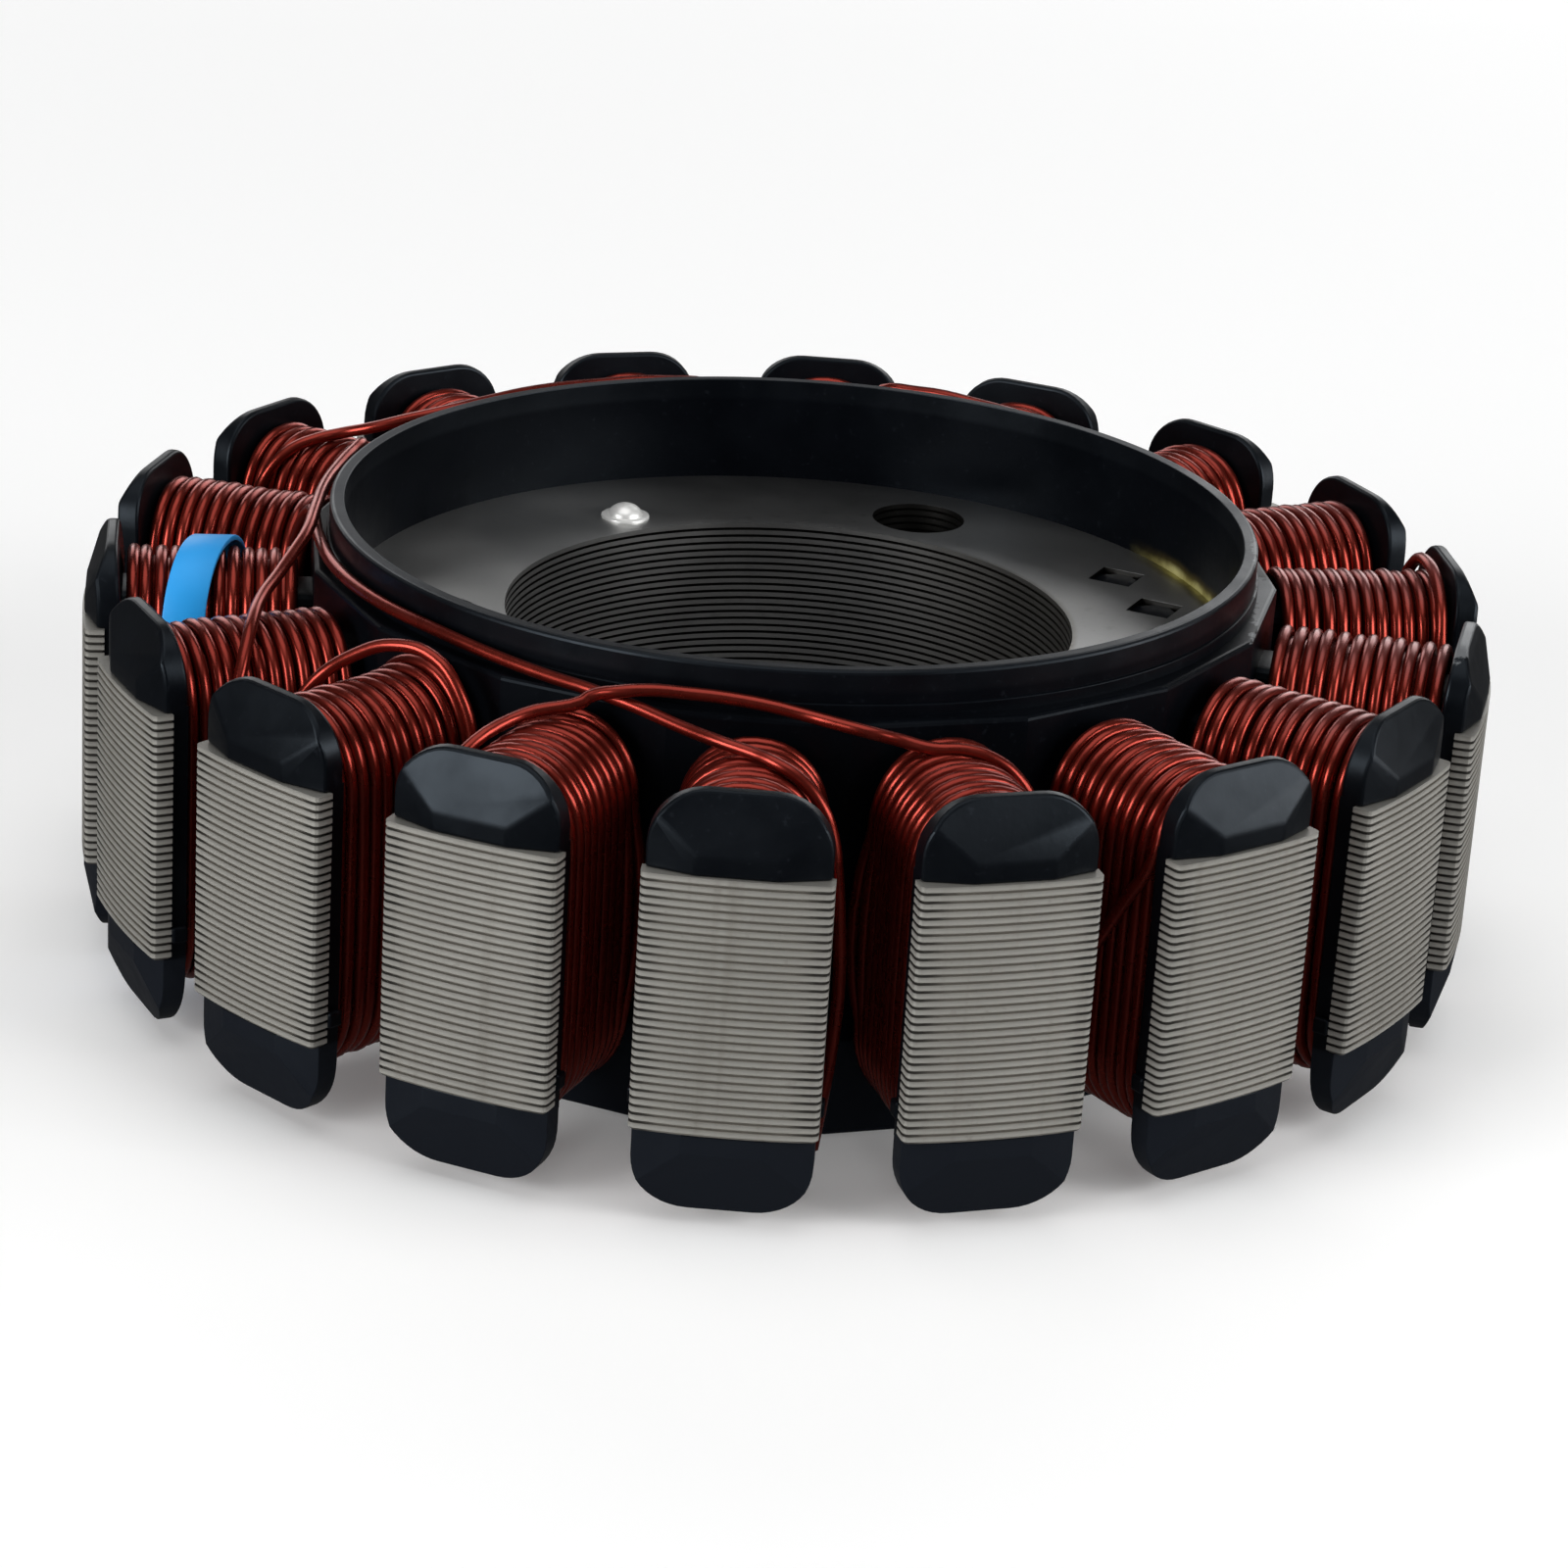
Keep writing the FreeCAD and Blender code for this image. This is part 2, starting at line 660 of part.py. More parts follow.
def pieces():
    named = {
        "core_stack": core_stack(),
        "stack_rivet": stack_rivet(),
        "window_plugs": window_plugs(),
        "upper_insulator": upper_insulator(),
        "lower_insulator": lower_insulator(),
        "marker_band": marker_band(),
        "crossover_wire_a": crossover_a(),
        "crossover_wire_b": crossover_b(),
        "crossover_wire_c": crossover_c(),
        "crossover_wire_d": crossover_d(),
        "crossover_wire_e": crossover_e(),
        "loose_turn_coil_17": loose_turn(),
    }
    for pole, wound in enumerate(on_every_pole(coil())):
        named["coil_%02d" % (pole + 1)] = wound
    return named


os.makedirs("parts", exist_ok=True)
for name, shape in pieces().items():
    shape.exportStep("parts/" + name + ".step")
    print(name, "solids", len(shape.Solids), "valid", shape.isValid(), "volume", round(shape.Volume, 1))
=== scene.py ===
import math
import random

import bpy
from mathutils import Matrix, Vector


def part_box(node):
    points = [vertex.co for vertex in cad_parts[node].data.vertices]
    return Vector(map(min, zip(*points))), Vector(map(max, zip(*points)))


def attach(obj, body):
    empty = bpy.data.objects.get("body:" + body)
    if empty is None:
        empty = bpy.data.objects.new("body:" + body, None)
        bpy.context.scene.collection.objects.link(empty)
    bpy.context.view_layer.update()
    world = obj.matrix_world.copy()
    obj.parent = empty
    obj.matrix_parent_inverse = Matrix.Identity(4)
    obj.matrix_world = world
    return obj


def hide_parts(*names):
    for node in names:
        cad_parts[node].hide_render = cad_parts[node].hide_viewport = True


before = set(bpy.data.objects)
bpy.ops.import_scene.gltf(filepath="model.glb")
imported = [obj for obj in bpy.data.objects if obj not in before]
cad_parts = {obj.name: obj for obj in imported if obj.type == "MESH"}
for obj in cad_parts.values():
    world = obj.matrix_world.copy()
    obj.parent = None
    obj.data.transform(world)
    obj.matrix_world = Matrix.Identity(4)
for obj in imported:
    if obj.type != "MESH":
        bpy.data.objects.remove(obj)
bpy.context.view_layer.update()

# Motorcycle stator: laminated steel core, moulded insulator and wound coils.
# The stator axis is Z and the first pole points to -Y. Lengths are in metres,
# written as a number of millimetres times MM where the frame doesn't give them.

MM = 0.001
HAIR = 0.0001 * MM
core_low, core_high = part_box("core_stack")
coil_low, coil_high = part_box("coil_01")
upper_low, upper_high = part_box("upper_insulator")

POLES = 18
PITCH = 2.0 * math.pi / POLES
STACK_RADIUS = -core_low.y
STACK_LOW = core_low.z
STACK_HIGH = core_high.z
STACK_MIDDLE = (STACK_LOW + STACK_HIGH) / 2.0
STACK_HEIGHT = STACK_HIGH - STACK_LOW
RIM_LEVEL = upper_high.z

# Steel sheets
SHEETS = 32
SHEET = STACK_HEIGHT / SHEETS
LAND = 0.64 * SHEET
GROOVE = 0.22 * MM
BORE_RADIUS = 24.0 * MM
SHOE_HALF = 7.115 * MM
SHOE_BACK = 57.02 * MM
SHOE_CORNER = 0.45 * MM
TOOTH_HALF = 2.3 * MM
YOKE_APOTHEM = 39.2 * MM
BOLT_CIRCLE = 30.2 * MM
BOLT_RADIUS = 4.15 * MM
BOLT_ANGLES = (40.8, 160.8, 281.8)
WINDOW_SIDE = 3.8 * MM
WINDOW_CIRCLE = 32.2 * MM
WINDOW_ANGLES = (105.6, 120.4)
WINDOW_TURN = 113.0
RIVET_CIRCLE = 27.8 * MM
RIVET_ANGLE = -144.6
RIVET_HEAD = 1.6 * MM
RIVET_FLATTENING = 0.78
RIVET_COLLAR = 2.15 * MM
RIVET_COLLAR_HEIGHT = 0.22 * MM
RIVET_SHANK = 1.2 * MM

# Moulded insulator
LINING = 0.9 * MM
WALL_APOTHEM = YOKE_APOTHEM + LINING
RING_INNER = 37.6 * MM
COLLAR_RADIUS = 38.8 * MM
COLLAR_STEP = 0.22 * MM
COLLAR_STEP_HEIGHT = 1.0 * MM
WALL_EDGE = 0.4 * MM
STEP_EDGE = 0.12 * MM
COLLAR_EDGE = 0.35 * MM
RIM_EDGE = 0.08 * MM
UPPER_STRIP = 19.4 * MM
LOWER_STRIP = STACK_HEIGHT - UPPER_STRIP
UPPER_WALL = 5.6 * MM
LOWER_WALL = STACK_LOW
UPPER_TAB = 6.2 * MM
LOWER_TAB = 6.85 * MM
SLEEVE_HALF = 3.1 * MM
SLEEVE_TOP = 1.8 * MM
SLEEVE_EDGE = 1.3 * MM
FLANGE_BACK = 55.72 * MM
FLANGE_HALF = 6.865 * MM
TAB_CORNER = 4.4 * MM
TAB_FRONT = 58.77 * MM
TAB_TIP = 57.0 * MM
TAB_UPRIGHT = 1.6 * MM
TAB_LEAN = 0.35 * MM
TAB_EDGE = 0.3 * MM
FACET_HALF = 3.1 * MM
FACET_FALL = 1.3 * MM
NUB = 0.5 * MM
NUB_HEIGHT = 1.3 * MM

# Winding
TURNS = 12
WIRE = 1.05 * MM
WIRE_RADIUS = WIRE / 2.0
COIL_START = -coil_high.y
COIL_END = -coil_low.y
COIL_LENGTH = COIL_END - COIL_START
COIL_HALF = coil_high.x
COIL_RISE = (coil_high.z - coil_low.z) / 2.0
TURN_PITCH = COIL_LENGTH / TURNS
SHOULDER = 8.0 * MM
ROUNDNESS = 2.2
UNDER_DEPTH = 0.9 * MM


# Modelling helpers


def pick(*pieces):
    bpy.ops.object.select_all(action="DESELECT")
    for piece in pieces:
        piece.select_set(True)
    bpy.context.view_layer.objects.active = pieces[0]


def settled(piece):
    """The piece with its place, turn and scale in its mesh."""
    pick(piece)
    bpy.ops.object.transform_apply(location=True, rotation=True, scale=True)
    return piece


def added(name):
    """The primitive that was just added, under its own name."""
    piece = bpy.context.active_object
    piece.name = name
    piece.data.name = name
    return settled(piece)


def block(name, x0, x1, half, z0, z1):
    """A box that lies along +X, centred across."""
    place = ((x0 + x1) / 2.0, 0.0, (z0 + z1) / 2.0)
    bpy.ops.object.select_all(action="DESELECT")
    bpy.ops.mesh.primitive_cube_add(size=1.0, location=place, scale=(x1 - x0, 2.0 * half, z1 - z0))
    return added(name)


def round_bar(name, radius, z0, z1, sides, x=0.0, y=0.0, turn=0.0):
    bpy.ops.object.select_all(action="DESELECT")
    bpy.ops.mesh.primitive_cylinder_add(
        vertices=sides, radius=radius, depth=z1 - z0,
        location=(x, y, (z0 + z1) / 2.0), rotation=(0.0, 0.0, turn))
    return added(name)


def pole_prism(name, apothem, z0, z1):
    """A prism with a flat for every pole."""
    return round_bar(name, apothem / math.cos(PITCH / 2.0), z0, z1, POLES, turn=PITCH / 2.0)


def shaped(piece, kind, **settings):
    """The piece after one modifier, applied."""
    pick(piece)
    modifier = piece.modifiers.new(kind.title(), kind)
    for key, value in settings.items():
        setattr(modifier, key, value)
    bpy.ops.object.modifier_apply(modifier=modifier.name)
    return piece


def combined(piece, tool, operation="DIFFERENCE"):
    shaped(piece, "BOOLEAN", object=tool, operation=operation, solver="EXACT")
    bpy.data.objects.remove(tool, do_unlink=True)
    return piece


def joined(name, pieces):
    pick(*pieces)
    if len(pieces) > 1:
        bpy.ops.object.join()
    piece = bpy.context.active_object
    piece.name = name
    piece.data.name = name
    return piece


def edit(piece, kind, test):
    """Opens the mesh with only the faces or edges selected that pass the test."""
    pick(piece)
    bpy.ops.object.mode_set(mode="EDIT")
    bpy.ops.mesh.select_mode(type=kind)
    bpy.ops.mesh.select_all(action="DESELECT")
    bpy.ops.object.mode_set(mode="OBJECT")
    mesh = piece.data
    if kind == "FACE":
        for face in mesh.polygons:
            face.select = test(face.center, face.normal)
    else:
        for edge in mesh.edges:
            first, second = (mesh.vertices[i].co for i in edge.vertices)
            edge.select = test(first, second)
    bpy.ops.object.mode_set(mode="EDIT")


def leave():
    bpy.ops.object.mode_set(mode="OBJECT")


def sliced(piece, point, normal):
    """Cuts off what lies on the normal's side of a plane and closes the cut."""
    pick(piece)
    bpy.ops.object.mode_set(mode="EDIT")
    bpy.ops.mesh.select_all(action="SELECT")
    bpy.ops.mesh.bisect(plane_co=point, plane_no=normal, use_fill=True, clear_outer=True, threshold=HAIR)
    leave()
    return piece


def copied(piece, name, turn):
    """A copy with its own mesh, turned about the stator axis."""
    pick(piece)
    bpy.ops.object.duplicate()
    copy = bpy.context.active_object
    copy.name = name
    copy.data.name = name
    copy.rotation_euler = (0.0, 0.0, turn)
    return settled(copy)


def pole_turn(pole):
    """The turn that takes +X to a pole."""
    return -math.pi / 2.0 + pole * PITCH


def on_every_pole(piece, name):
    copies = [copied(piece, name + "_copy", pole_turn(pole)) for pole in range(POLES)]
    bpy.data.objects.remove(piece, do_unlink=True)
    return joined(name, copies)


def smooth(piece, degrees):
    pick(piece)
    bpy.ops.object.shade_smooth_by_angle(angle=math.radians(degrees))
    return piece


def round_place(angle, radius):
    """The place at an angle from the first pole, in degrees."""
    a = math.radians(angle - 90.0)
    return radius * math.cos(a), radius * math.sin(a)


def finished(piece, material, slot, *nodes):
    """Gives the piece its finish and hangs it on the frame."""
    piece.data.materials.clear()
    piece.data.materials.append(material)
    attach(piece, "root")
    if nodes:
        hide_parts(*nodes)
    return piece


# Materials


class Finish:
    """A material with short ways to add and link its nodes."""

    def __init__(self, name, **sockets):
        self.material = bpy.data.materials.new(name)
        self.material.use_nodes = True
        self.tree = self.material.node_tree
        self.shader = self.tree.nodes["Principled BSDF"]
        for key, value in sockets.items():
            self.shader.inputs[key.replace("_", " ")].default_value = value
        self.place = self.node("TexCoord").outputs["Object"]

    def node(self, kind, **inputs):
        made = self.tree.nodes.new("ShaderNode" + kind)
        for key, value in inputs.items():
            socket = made.inputs[int(key[1:])] if key[0] == "i" and key[1:].isdigit() else made.inputs[key]
            self.feed(socket, value)
        return made

    def feed(self, socket, value):
        if isinstance(value, bpy.types.NodeSocket):
            self.tree.links.new(value, socket)
        else:
            socket.default_value = value

    def maths(self, operation, *values):
        made = self.tree.nodes.new("ShaderNodeMath")
        made.operation = operation
        for socket, value in zip(made.inputs, values):
            self.feed(socket, value)
        return made.outputs[0]

    def product(self, first, *others):
        for value in others:
            first = self.maths("MULTIPLY", first, value)
        return first

    def facing_up(self):
        """The upward part of the surface's direction."""
        return self.node("SeparateXYZ", Vector=self.node("NewGeometry").outputs["Normal"]).outputs["Z"]

    def spread(self, value, low, high, to_low=0.0, to_high=1.0):
        """A smooth change from one value to another between two marks."""
        made = self.tree.nodes.new("ShaderNodeMapRange")
        made.interpolation_type = "SMOOTHSTEP"
        for socket, number in zip(made.inputs, (value, low, high, to_low, to_high)):
            self.feed(socket, number)
        return made.outputs[0]

    def noise(self, scale, detail=4.0, stretch=(1.0, 1.0, 1.0), rough=0.55):
        mapping = self.node("Mapping", Vector=self.place, Scale=stretch)
        made = self.node("TexNoise", Vector=mapping.outputs[0], Scale=scale, Detail=detail, Roughness=rough)
        return made.outputs["Fac"]

    def blend(self, share, first, second):
        made = self.tree.nodes.new("ShaderNodeMix")
        made.data_type = "RGBA"
        self.feed(made.inputs["Factor"], share)
        colours = [socket for socket in made.inputs if socket.type == "RGBA"]
        self.feed(colours[0], first)
        self.feed(colours[1], second)
        return [socket for socket in made.outputs if socket.type == "RGBA"][0]

    def set(self, key, value):
        self.feed(self.shader.inputs[key], value)

    def bump(self, height, strength, distance):
        made = self.node("Bump", Height=height, Strength=strength, Distance=distance)
        self.set("Normal", made.outputs[0])


def colour(red, green, blue):
    return (red, green, blue, 1.0)


# The stretch of the corner inside the ring wall where varnish ran, from the first pole
VARNISH_FROM = math.radians(105.0)
VARNISH_TO = math.radians(133.0)


def plan_radius(finish, split):
    plan = finish.node("CombineXYZ", X=split.outputs["X"], Y=split.outputs["Y"])
    length = finish.node("VectorMath", i0=plan.outputs[0])
    length.operation = "LENGTH"
    return length.outputs["Value"]


def turn_from_first_pole(finish, split):
    return finish.maths("ARCTAN2", split.outputs["X"], finish.maths("MULTIPLY", split.outputs["Y"], -1.0))


def varnished(finish, split, base):
    """Varnish that ran along the corner between the top sheet and the ring wall."""
    wander = finish.noise(300.0)
    turn = finish.maths("MULTIPLY_ADD", wander, 0.1, turn_from_first_pole(finish, split))
    run = finish.product(finish.spread(turn, VARNISH_FROM, VARNISH_FROM + 0.06),
                         finish.spread(turn, VARNISH_TO - 0.22, VARNISH_TO, 1.0, 0.0))
    out = finish.maths("SUBTRACT", plan_radius(finish, split), RING_INNER)
    up = finish.maths("SUBTRACT", split.outputs["Z"], STACK_HIGH)
    squares = finish.maths("ADD", finish.product(out, out), finish.product(up, up))
    away = finish.maths("MULTIPLY_ADD", wander, 0.9 * MM, finish.maths("SQRT", squares))
    edge = finish.product(run, finish.spread(away, 0.9 * MM, 2.0 * MM, 0.85, 0.0))
    core = finish.product(run, finish.spread(away, 0.55 * MM, 1.35 * MM, 1.0, 0.0))
    pale = finish.blend(finish.spread(wander, 0.35, 0.65), colour(0.42, 0.39, 0.17),
                        colour(0.20, 0.175, 0.05))
    base = finish.blend(edge, base, colour(0.070, 0.052, 0.015))
    return finish.blend(core, base, pale)


def sheet_steel():
    """Sheets with dark gaps: ground at the pole faces and as rolled elsewhere."""
    finish = Finish("sheet_steel")
    split = finish.node("SeparateXYZ", Vector=finish.place)
    x, y = split.outputs["X"], split.outputs["Y"]
    radius = plan_radius(finish, split)
    depth = finish.maths("SUBTRACT", STACK_HIGH, split.outputs["Z"])
    clouds = finish.noise(70.0, 5.0)

    # On the top sheet, on the edge of a sheet, or else in a gap
    phase = finish.maths("FRACT", finish.maths("DIVIDE", depth, SHEET))
    top = finish.spread(depth, 0.02 * MM, 0.05 * MM, 1.0, 0.0)
    on_edge = finish.product(finish.spread(phase, 0.0, 0.05), finish.spread(phase, 0.60, 0.70, 1.0, 0.0))
    land = finish.maths("MAXIMUM", on_edge, top)
    outer = finish.spread(radius, 50.0 * MM, 52.0 * MM)

    # Pole faces, with the gaps paler along their middle and darker towards the ends
    poles = finish.maths("MULTIPLY_ADD", turn_from_first_pole(finish, split), 1.0 / PITCH, 0.5)
    aside = finish.maths("ABSOLUTE", finish.maths("SUBTRACT", finish.maths("FRACT", poles), 0.5))
    paler_mid_gaps = finish.maths("MULTIPLY_ADD", finish.noise(260.0, 4.0, (1.0, 1.0, 2.5)), 0.16, aside)
    paler_mid_gaps = finish.product(outer, finish.spread(paler_mid_gaps, 0.30, 0.41, 1.0, 0.15))
    streaks = finish.spread(finish.noise(700.0, 3.0, (1.0, 1.0, 0.03)), 0.52, 0.75, 0.0, 0.35)
    specks = finish.spread(finish.noise(1400.0, 2.0), 0.62, 0.78, 0.0, 0.2)
    # Painted shade along the upper part of each sheet's edge on the pole faces
    painted_sheet_edge_shade = finish.spread(phase, 0.0, 0.5, 0.45, 0.0)
    ground = finish.blend(clouds, colour(0.28, 0.272, 0.248), colour(0.425, 0.415, 0.38))
    ground = finish.blend(streaks, ground, colour(0.20, 0.18, 0.15))
    ground = finish.blend(specks, ground, colour(0.12, 0.10, 0.08))
    ground = finish.blend(painted_sheet_edge_shade, ground, colour(0.13, 0.125, 0.115))

    # As rolled, with a painted sheen at the left and right and painted shade below the far wall
    spots = finish.spread(finish.noise(900.0, 2.0), 0.55, 0.8, 0.0, 0.4)
    # Painted sheen: paler towards the right front and towards the left
    right = finish.product(finish.spread(y, 2.0 * MM, 12.0 * MM, 0.0, 0.45),
                           finish.spread(x, 4.0 * MM, 14.0 * MM))
    painted_sheen = finish.maths("MAXIMUM", finish.spread(x, -26.0 * MM, 4.0 * MM, 0.6, 0.0), right)
    # Painted shade: darker towards the far ring wall
    painted_wall_shade = finish.spread(y, 25.0 * MM, 34.0 * MM, 0.0, 0.6)
    rolled = finish.blend(clouds, colour(0.30, 0.30, 0.30), colour(0.44, 0.44, 0.435))
    rolled = finish.blend(spots, rolled, colour(0.20, 0.195, 0.185))
    rolled = finish.blend(painted_sheen, rolled, colour(0.58, 0.58, 0.57))
    rolled = finish.blend(painted_wall_shade, rolled, colour(0.04, 0.042, 0.048))
    bare = finish.blend(outer, rolled, ground)

    # The bore, tarnished at the right, and painted shade on the walls of the holes and windows
    tarnish = finish.product(finish.spread(x, 2.0 * MM, 26.0 * MM), finish.noise(60.0),
                             finish.spread(radius, BORE_RADIUS + 0.1 * MM, BORE_RADIUS + 0.6 * MM, 0.9, 0.0))
    bare = finish.blend(tarnish, bare, colour(0.10, 0.075, 0.035))
    # Painted shade: the walls of the holes and windows are darkened
    past_bore = finish.spread(radius, BORE_RADIUS + 1.4 * MM, BORE_RADIUS + 2.0 * MM)
    hole = finish.product(past_bore, finish.maths("SUBTRACT", 1.0, outer), finish.maths("SUBTRACT", 1.0, top))
    bare = finish.blend(hole, bare, colour(0.07, 0.068, 0.064))
    gap = finish.blend(finish.spread(x, 0.0, 22.0 * MM), colour(0.035, 0.034, 0.032),
                       colour(0.10, 0.095, 0.085))
    gap = finish.blend(outer, gap, colour(0.055, 0.052, 0.047))
    gap = finish.blend(paler_mid_gaps, gap, colour(0.25, 0.235, 0.208))

    finish.set("Base Color", finish.blend(land, gap, varnished(finish, split, bare)))
    finish.set("Metallic", finish.maths("MULTIPLY_ADD", outer, -0.5, 0.95))
    polish = finish.spread(clouds, 0.3, 0.7, 0.29, 0.36)
    finish.set("Roughness", finish.maths("MULTIPLY_ADD", outer, 0.1, polish))
    finish.bump(finish.noise(1600.0, 3.0), 0.25, 0.05 * MM)
    return finish.material


def black_moulding():
    """Black plastic with a worn rim painted paler and a painted sheen on it that fades towards the front, a
    chipped ledge at the right and some varnish.
    """
    finish = Finish("black_moulding", Specular_Tint=colour(0.72, 0.86, 1.0))
    split = finish.node("SeparateXYZ", Vector=finish.place)
    x, y, z = (split.outputs[axis] for axis in "XYZ")
    facing = finish.facing_up()
    clouds = finish.noise(160.0, 5.0)
    grain = finish.noise(1500.0, 3.0)
    base = finish.blend(clouds, colour(0.0008, 0.0011, 0.0018), colour(0.0024, 0.0030, 0.0046))
    base = finish.blend(finish.spread(grain, 0.62, 0.76, 0.0, 0.4), base, colour(0.012, 0.014, 0.018))

    # Rim top: worn face painted paler, partly a painted sheen that fades towards the front
    rim = finish.product(
        finish.spread(finish.maths("SUBTRACT", RIM_LEVEL, z), 0.1 * MM, 0.35 * MM, 1.0, 0.0),
        finish.spread(facing, 0.5, 0.9, 0.0, 0.8), finish.spread(y, -38.0 * MM, -8.0 * MM, 0.12, 1.0))
    base = finish.blend(rim, base, colour(0.028, 0.030, 0.034))
    # Painted light: the moulding below the stack is painted paler
    under = finish.spread(z, STACK_LOW - 0.2 * MM, STACK_LOW, 1.0, 0.0)
    base = finish.blend(under, base, colour(0.0065, 0.0078, 0.0112))

    ragged = finish.noise(800.0, 6.0, rough=0.7)
    along = finish.maths("MULTIPLY_ADD", ragged, 4.0 * MM, y)
    out = finish.maths("MULTIPLY_ADD", ragged, 5.0 * MM, x)
    above_ledge = finish.maths("SUBTRACT", z, STACK_HIGH + UPPER_WALL)
    chipped = finish.product(
        finish.spread(along, -12.6 * MM, -12.2 * MM), finish.spread(along, 3.8 * MM, 4.2 * MM, 1.0, 0.0),
        finish.spread(out, 40.9 * MM, 41.1 * MM), finish.spread(facing, 0.3, 0.8),
        finish.spread(above_ledge, -0.5 * MM, -0.3 * MM))
    base = finish.blend(chipped, base, colour(0.125, 0.13, 0.135))

    # Ledge and sleeves are dull, the collar and the tabs shine a little more
    sheen = finish.maths("MAXIMUM", finish.spread(above_ledge, 1.6 * MM, 2.2 * MM, 0.08, 0.19),
                         finish.spread(plan_radius(finish, split), 44.0 * MM, 48.0 * MM, 0.08, 0.19))
    finish.set("Specular IOR Level", sheen)
    finish.set("Base Color", varnished(finish, split, base))
    finish.set("Roughness", finish.spread(clouds, 0.3, 0.7, 0.32, 0.44))
    finish.bump(finish.maths("MULTIPLY_ADD", grain, 0.35, clouds), 0.25, 0.1 * MM)
    return finish.material


def enamelled_copper():
    """Red enamel over copper, with a pale painted sheen on the upper sides at the right."""
    finish = Finish("enamelled_copper", Coat_Weight=0.12, Coat_Roughness=0.2)
    split = finish.node("SeparateXYZ", Vector=finish.place)
    patches = finish.noise(120.0, 3.0)
    fine = finish.noise(500.0, 2.0)
    base = finish.blend(patches, colour(0.16, 0.014, 0.009), colour(0.30, 0.034, 0.020))
    base = finish.blend(finish.spread(fine, 0.62, 0.8, 0.0, 0.35), base, colour(0.07, 0.009, 0.007))
    # Painted sheen: paler and less metallic on upward faces at the right
    painted_top_sheen = finish.product(finish.spread(finish.facing_up(), 0.55, 0.98),
                          finish.spread(split.outputs["X"], 30.0 * MM, 50.0 * MM, 0.0, 0.4))
    finish.set("Base Color", finish.blend(painted_top_sheen, base, colour(0.16, 0.085, 0.085)))
    finish.set("Metallic", finish.maths("MULTIPLY_ADD", painted_top_sheen, -0.7, 0.88))
    finish.set("Roughness", finish.spread(fine, 0.3, 0.7, 0.25, 0.33))
    return finish.material


def blue_plastic():
    finish = Finish("blue_plastic", Roughness=0.46, Specular_IOR_Level=0.4)
    clouds = finish.noise(220.0, 3.0)
    finish.set("Base Color", finish.blend(clouds, colour(0.012, 0.30, 0.74), colour(0.020, 0.37, 0.88)))
    finish.bump(finish.noise(700.0), 0.1, 0.02 * MM)
    return finish.material


def bright_steel():
    finish = Finish("bright_steel", Metallic=0.5)
    clouds = finish.noise(500.0, 3.0)
    finish.set("Base Color", finish.blend(clouds, colour(0.86, 0.86, 0.84), colour(0.96, 0.96, 0.94)))
    finish.set("Roughness", finish.spread(clouds, 0.3, 0.7, 0.34, 0.44))
    return finish.material


def pale_floor():
    finish = Finish("pale_floor", Roughness=0.85, Emission_Strength=0.13)
    finish.set("Base Color", finish.blend(finish.noise(3.0), colour(0.93, 0.93, 0.93),
                                          colour(0.95, 0.95, 0.95)))
    return finish.material


# Lamination stack


def t_shape():
    """One tooth with its shoe, both taller than the stack."""
    tooth = block("tooth", YOKE_APOTHEM - LINING, SHOE_BACK + MM, TOOTH_HALF,
                  STACK_LOW - 2.0 * MM, STACK_HIGH + 2.0 * MM)
    shoe = block("shoe", SHOE_BACK, STACK_RADIUS + MM, SHOE_HALF,
                 STACK_LOW - 3.0 * MM, STACK_HIGH + 3.0 * MM)
    return combined(tooth, shoe, "UNION")


def at_shoe_corner(point):
    angle = (math.atan2(point.y, point.x) + math.pi / 2.0 + PITCH / 2.0) % PITCH - PITCH / 2.0
    radius = math.hypot(point.x, point.y)
    beside = abs(abs(radius * math.sin(angle)) - SHOE_HALF) < 0.05 * MM
    return beside and radius > SHOE_BACK + MM


def lamination_stack():
    """One sheet, cut out and edged, then stacked."""
    low = STACK_LOW - MM
    high = STACK_HIGH + MM
    sheet = pole_prism("lamination_stack", YOKE_APOTHEM, low, high)
    combined(sheet, on_every_pole(t_shape(), "teeth"), "UNION")
    sides = 14 * POLES
    outside = round_bar("outside", STACK_RADIUS, STACK_LOW, STACK_HIGH, sides, turn=math.pi / sides)
    combined(sheet, outside, "INTERSECT")
    combined(sheet, round_bar("bore", BORE_RADIUS, low, high, 180))
    for angle in BOLT_ANGLES:
        x, y = round_place(angle, BOLT_CIRCLE)
        combined(sheet, round_bar("bolt_hole", BOLT_RADIUS, low, high, 48, x, y))
    for angle in WINDOW_ANGLES:
        x, y = round_place(angle, WINDOW_CIRCLE)
        turn = math.radians(WINDOW_TURN)
        combined(sheet, round_bar("window", WINDOW_SIDE / math.sqrt(2.0), low, high, 4, x, y, turn))
    edit(sheet, "EDGE", lambda a, b: at_shoe_corner(a) and at_shoe_corner(b) and abs(a.z - b.z) > MM)
    bpy.ops.mesh.bevel(offset=SHOE_CORNER, segments=3)
    leave()
    edit(sheet, "FACE", lambda centre, normal: normal.z < 0.9 or centre.z < STACK_MIDDLE)
    bpy.ops.mesh.delete(type="FACE")
    bpy.ops.mesh.select_all(action="SELECT")
    bpy.ops.mesh.remove_doubles(threshold=0.01 * MM)
    bpy.ops.mesh.extrude_region_move(TRANSFORM_OT_translate={"value": (0.0, 0.0, -LAND)})
    bpy.ops.mesh.inset(thickness=GROOVE, use_even_offset=True)
    bpy.ops.transform.translate(value=(0.0, 0.0, LAND - SHEET))
    bpy.ops.mesh.select_all(action="SELECT")
    bpy.ops.mesh.normals_make_consistent(inside=False)
    leave()
    shaped(sheet, "ARRAY", count=SHEETS, use_relative_offset=False, use_constant_offset=True,
           constant_offset_displace=(0.0, 0.0, -SHEET))
    return sheet


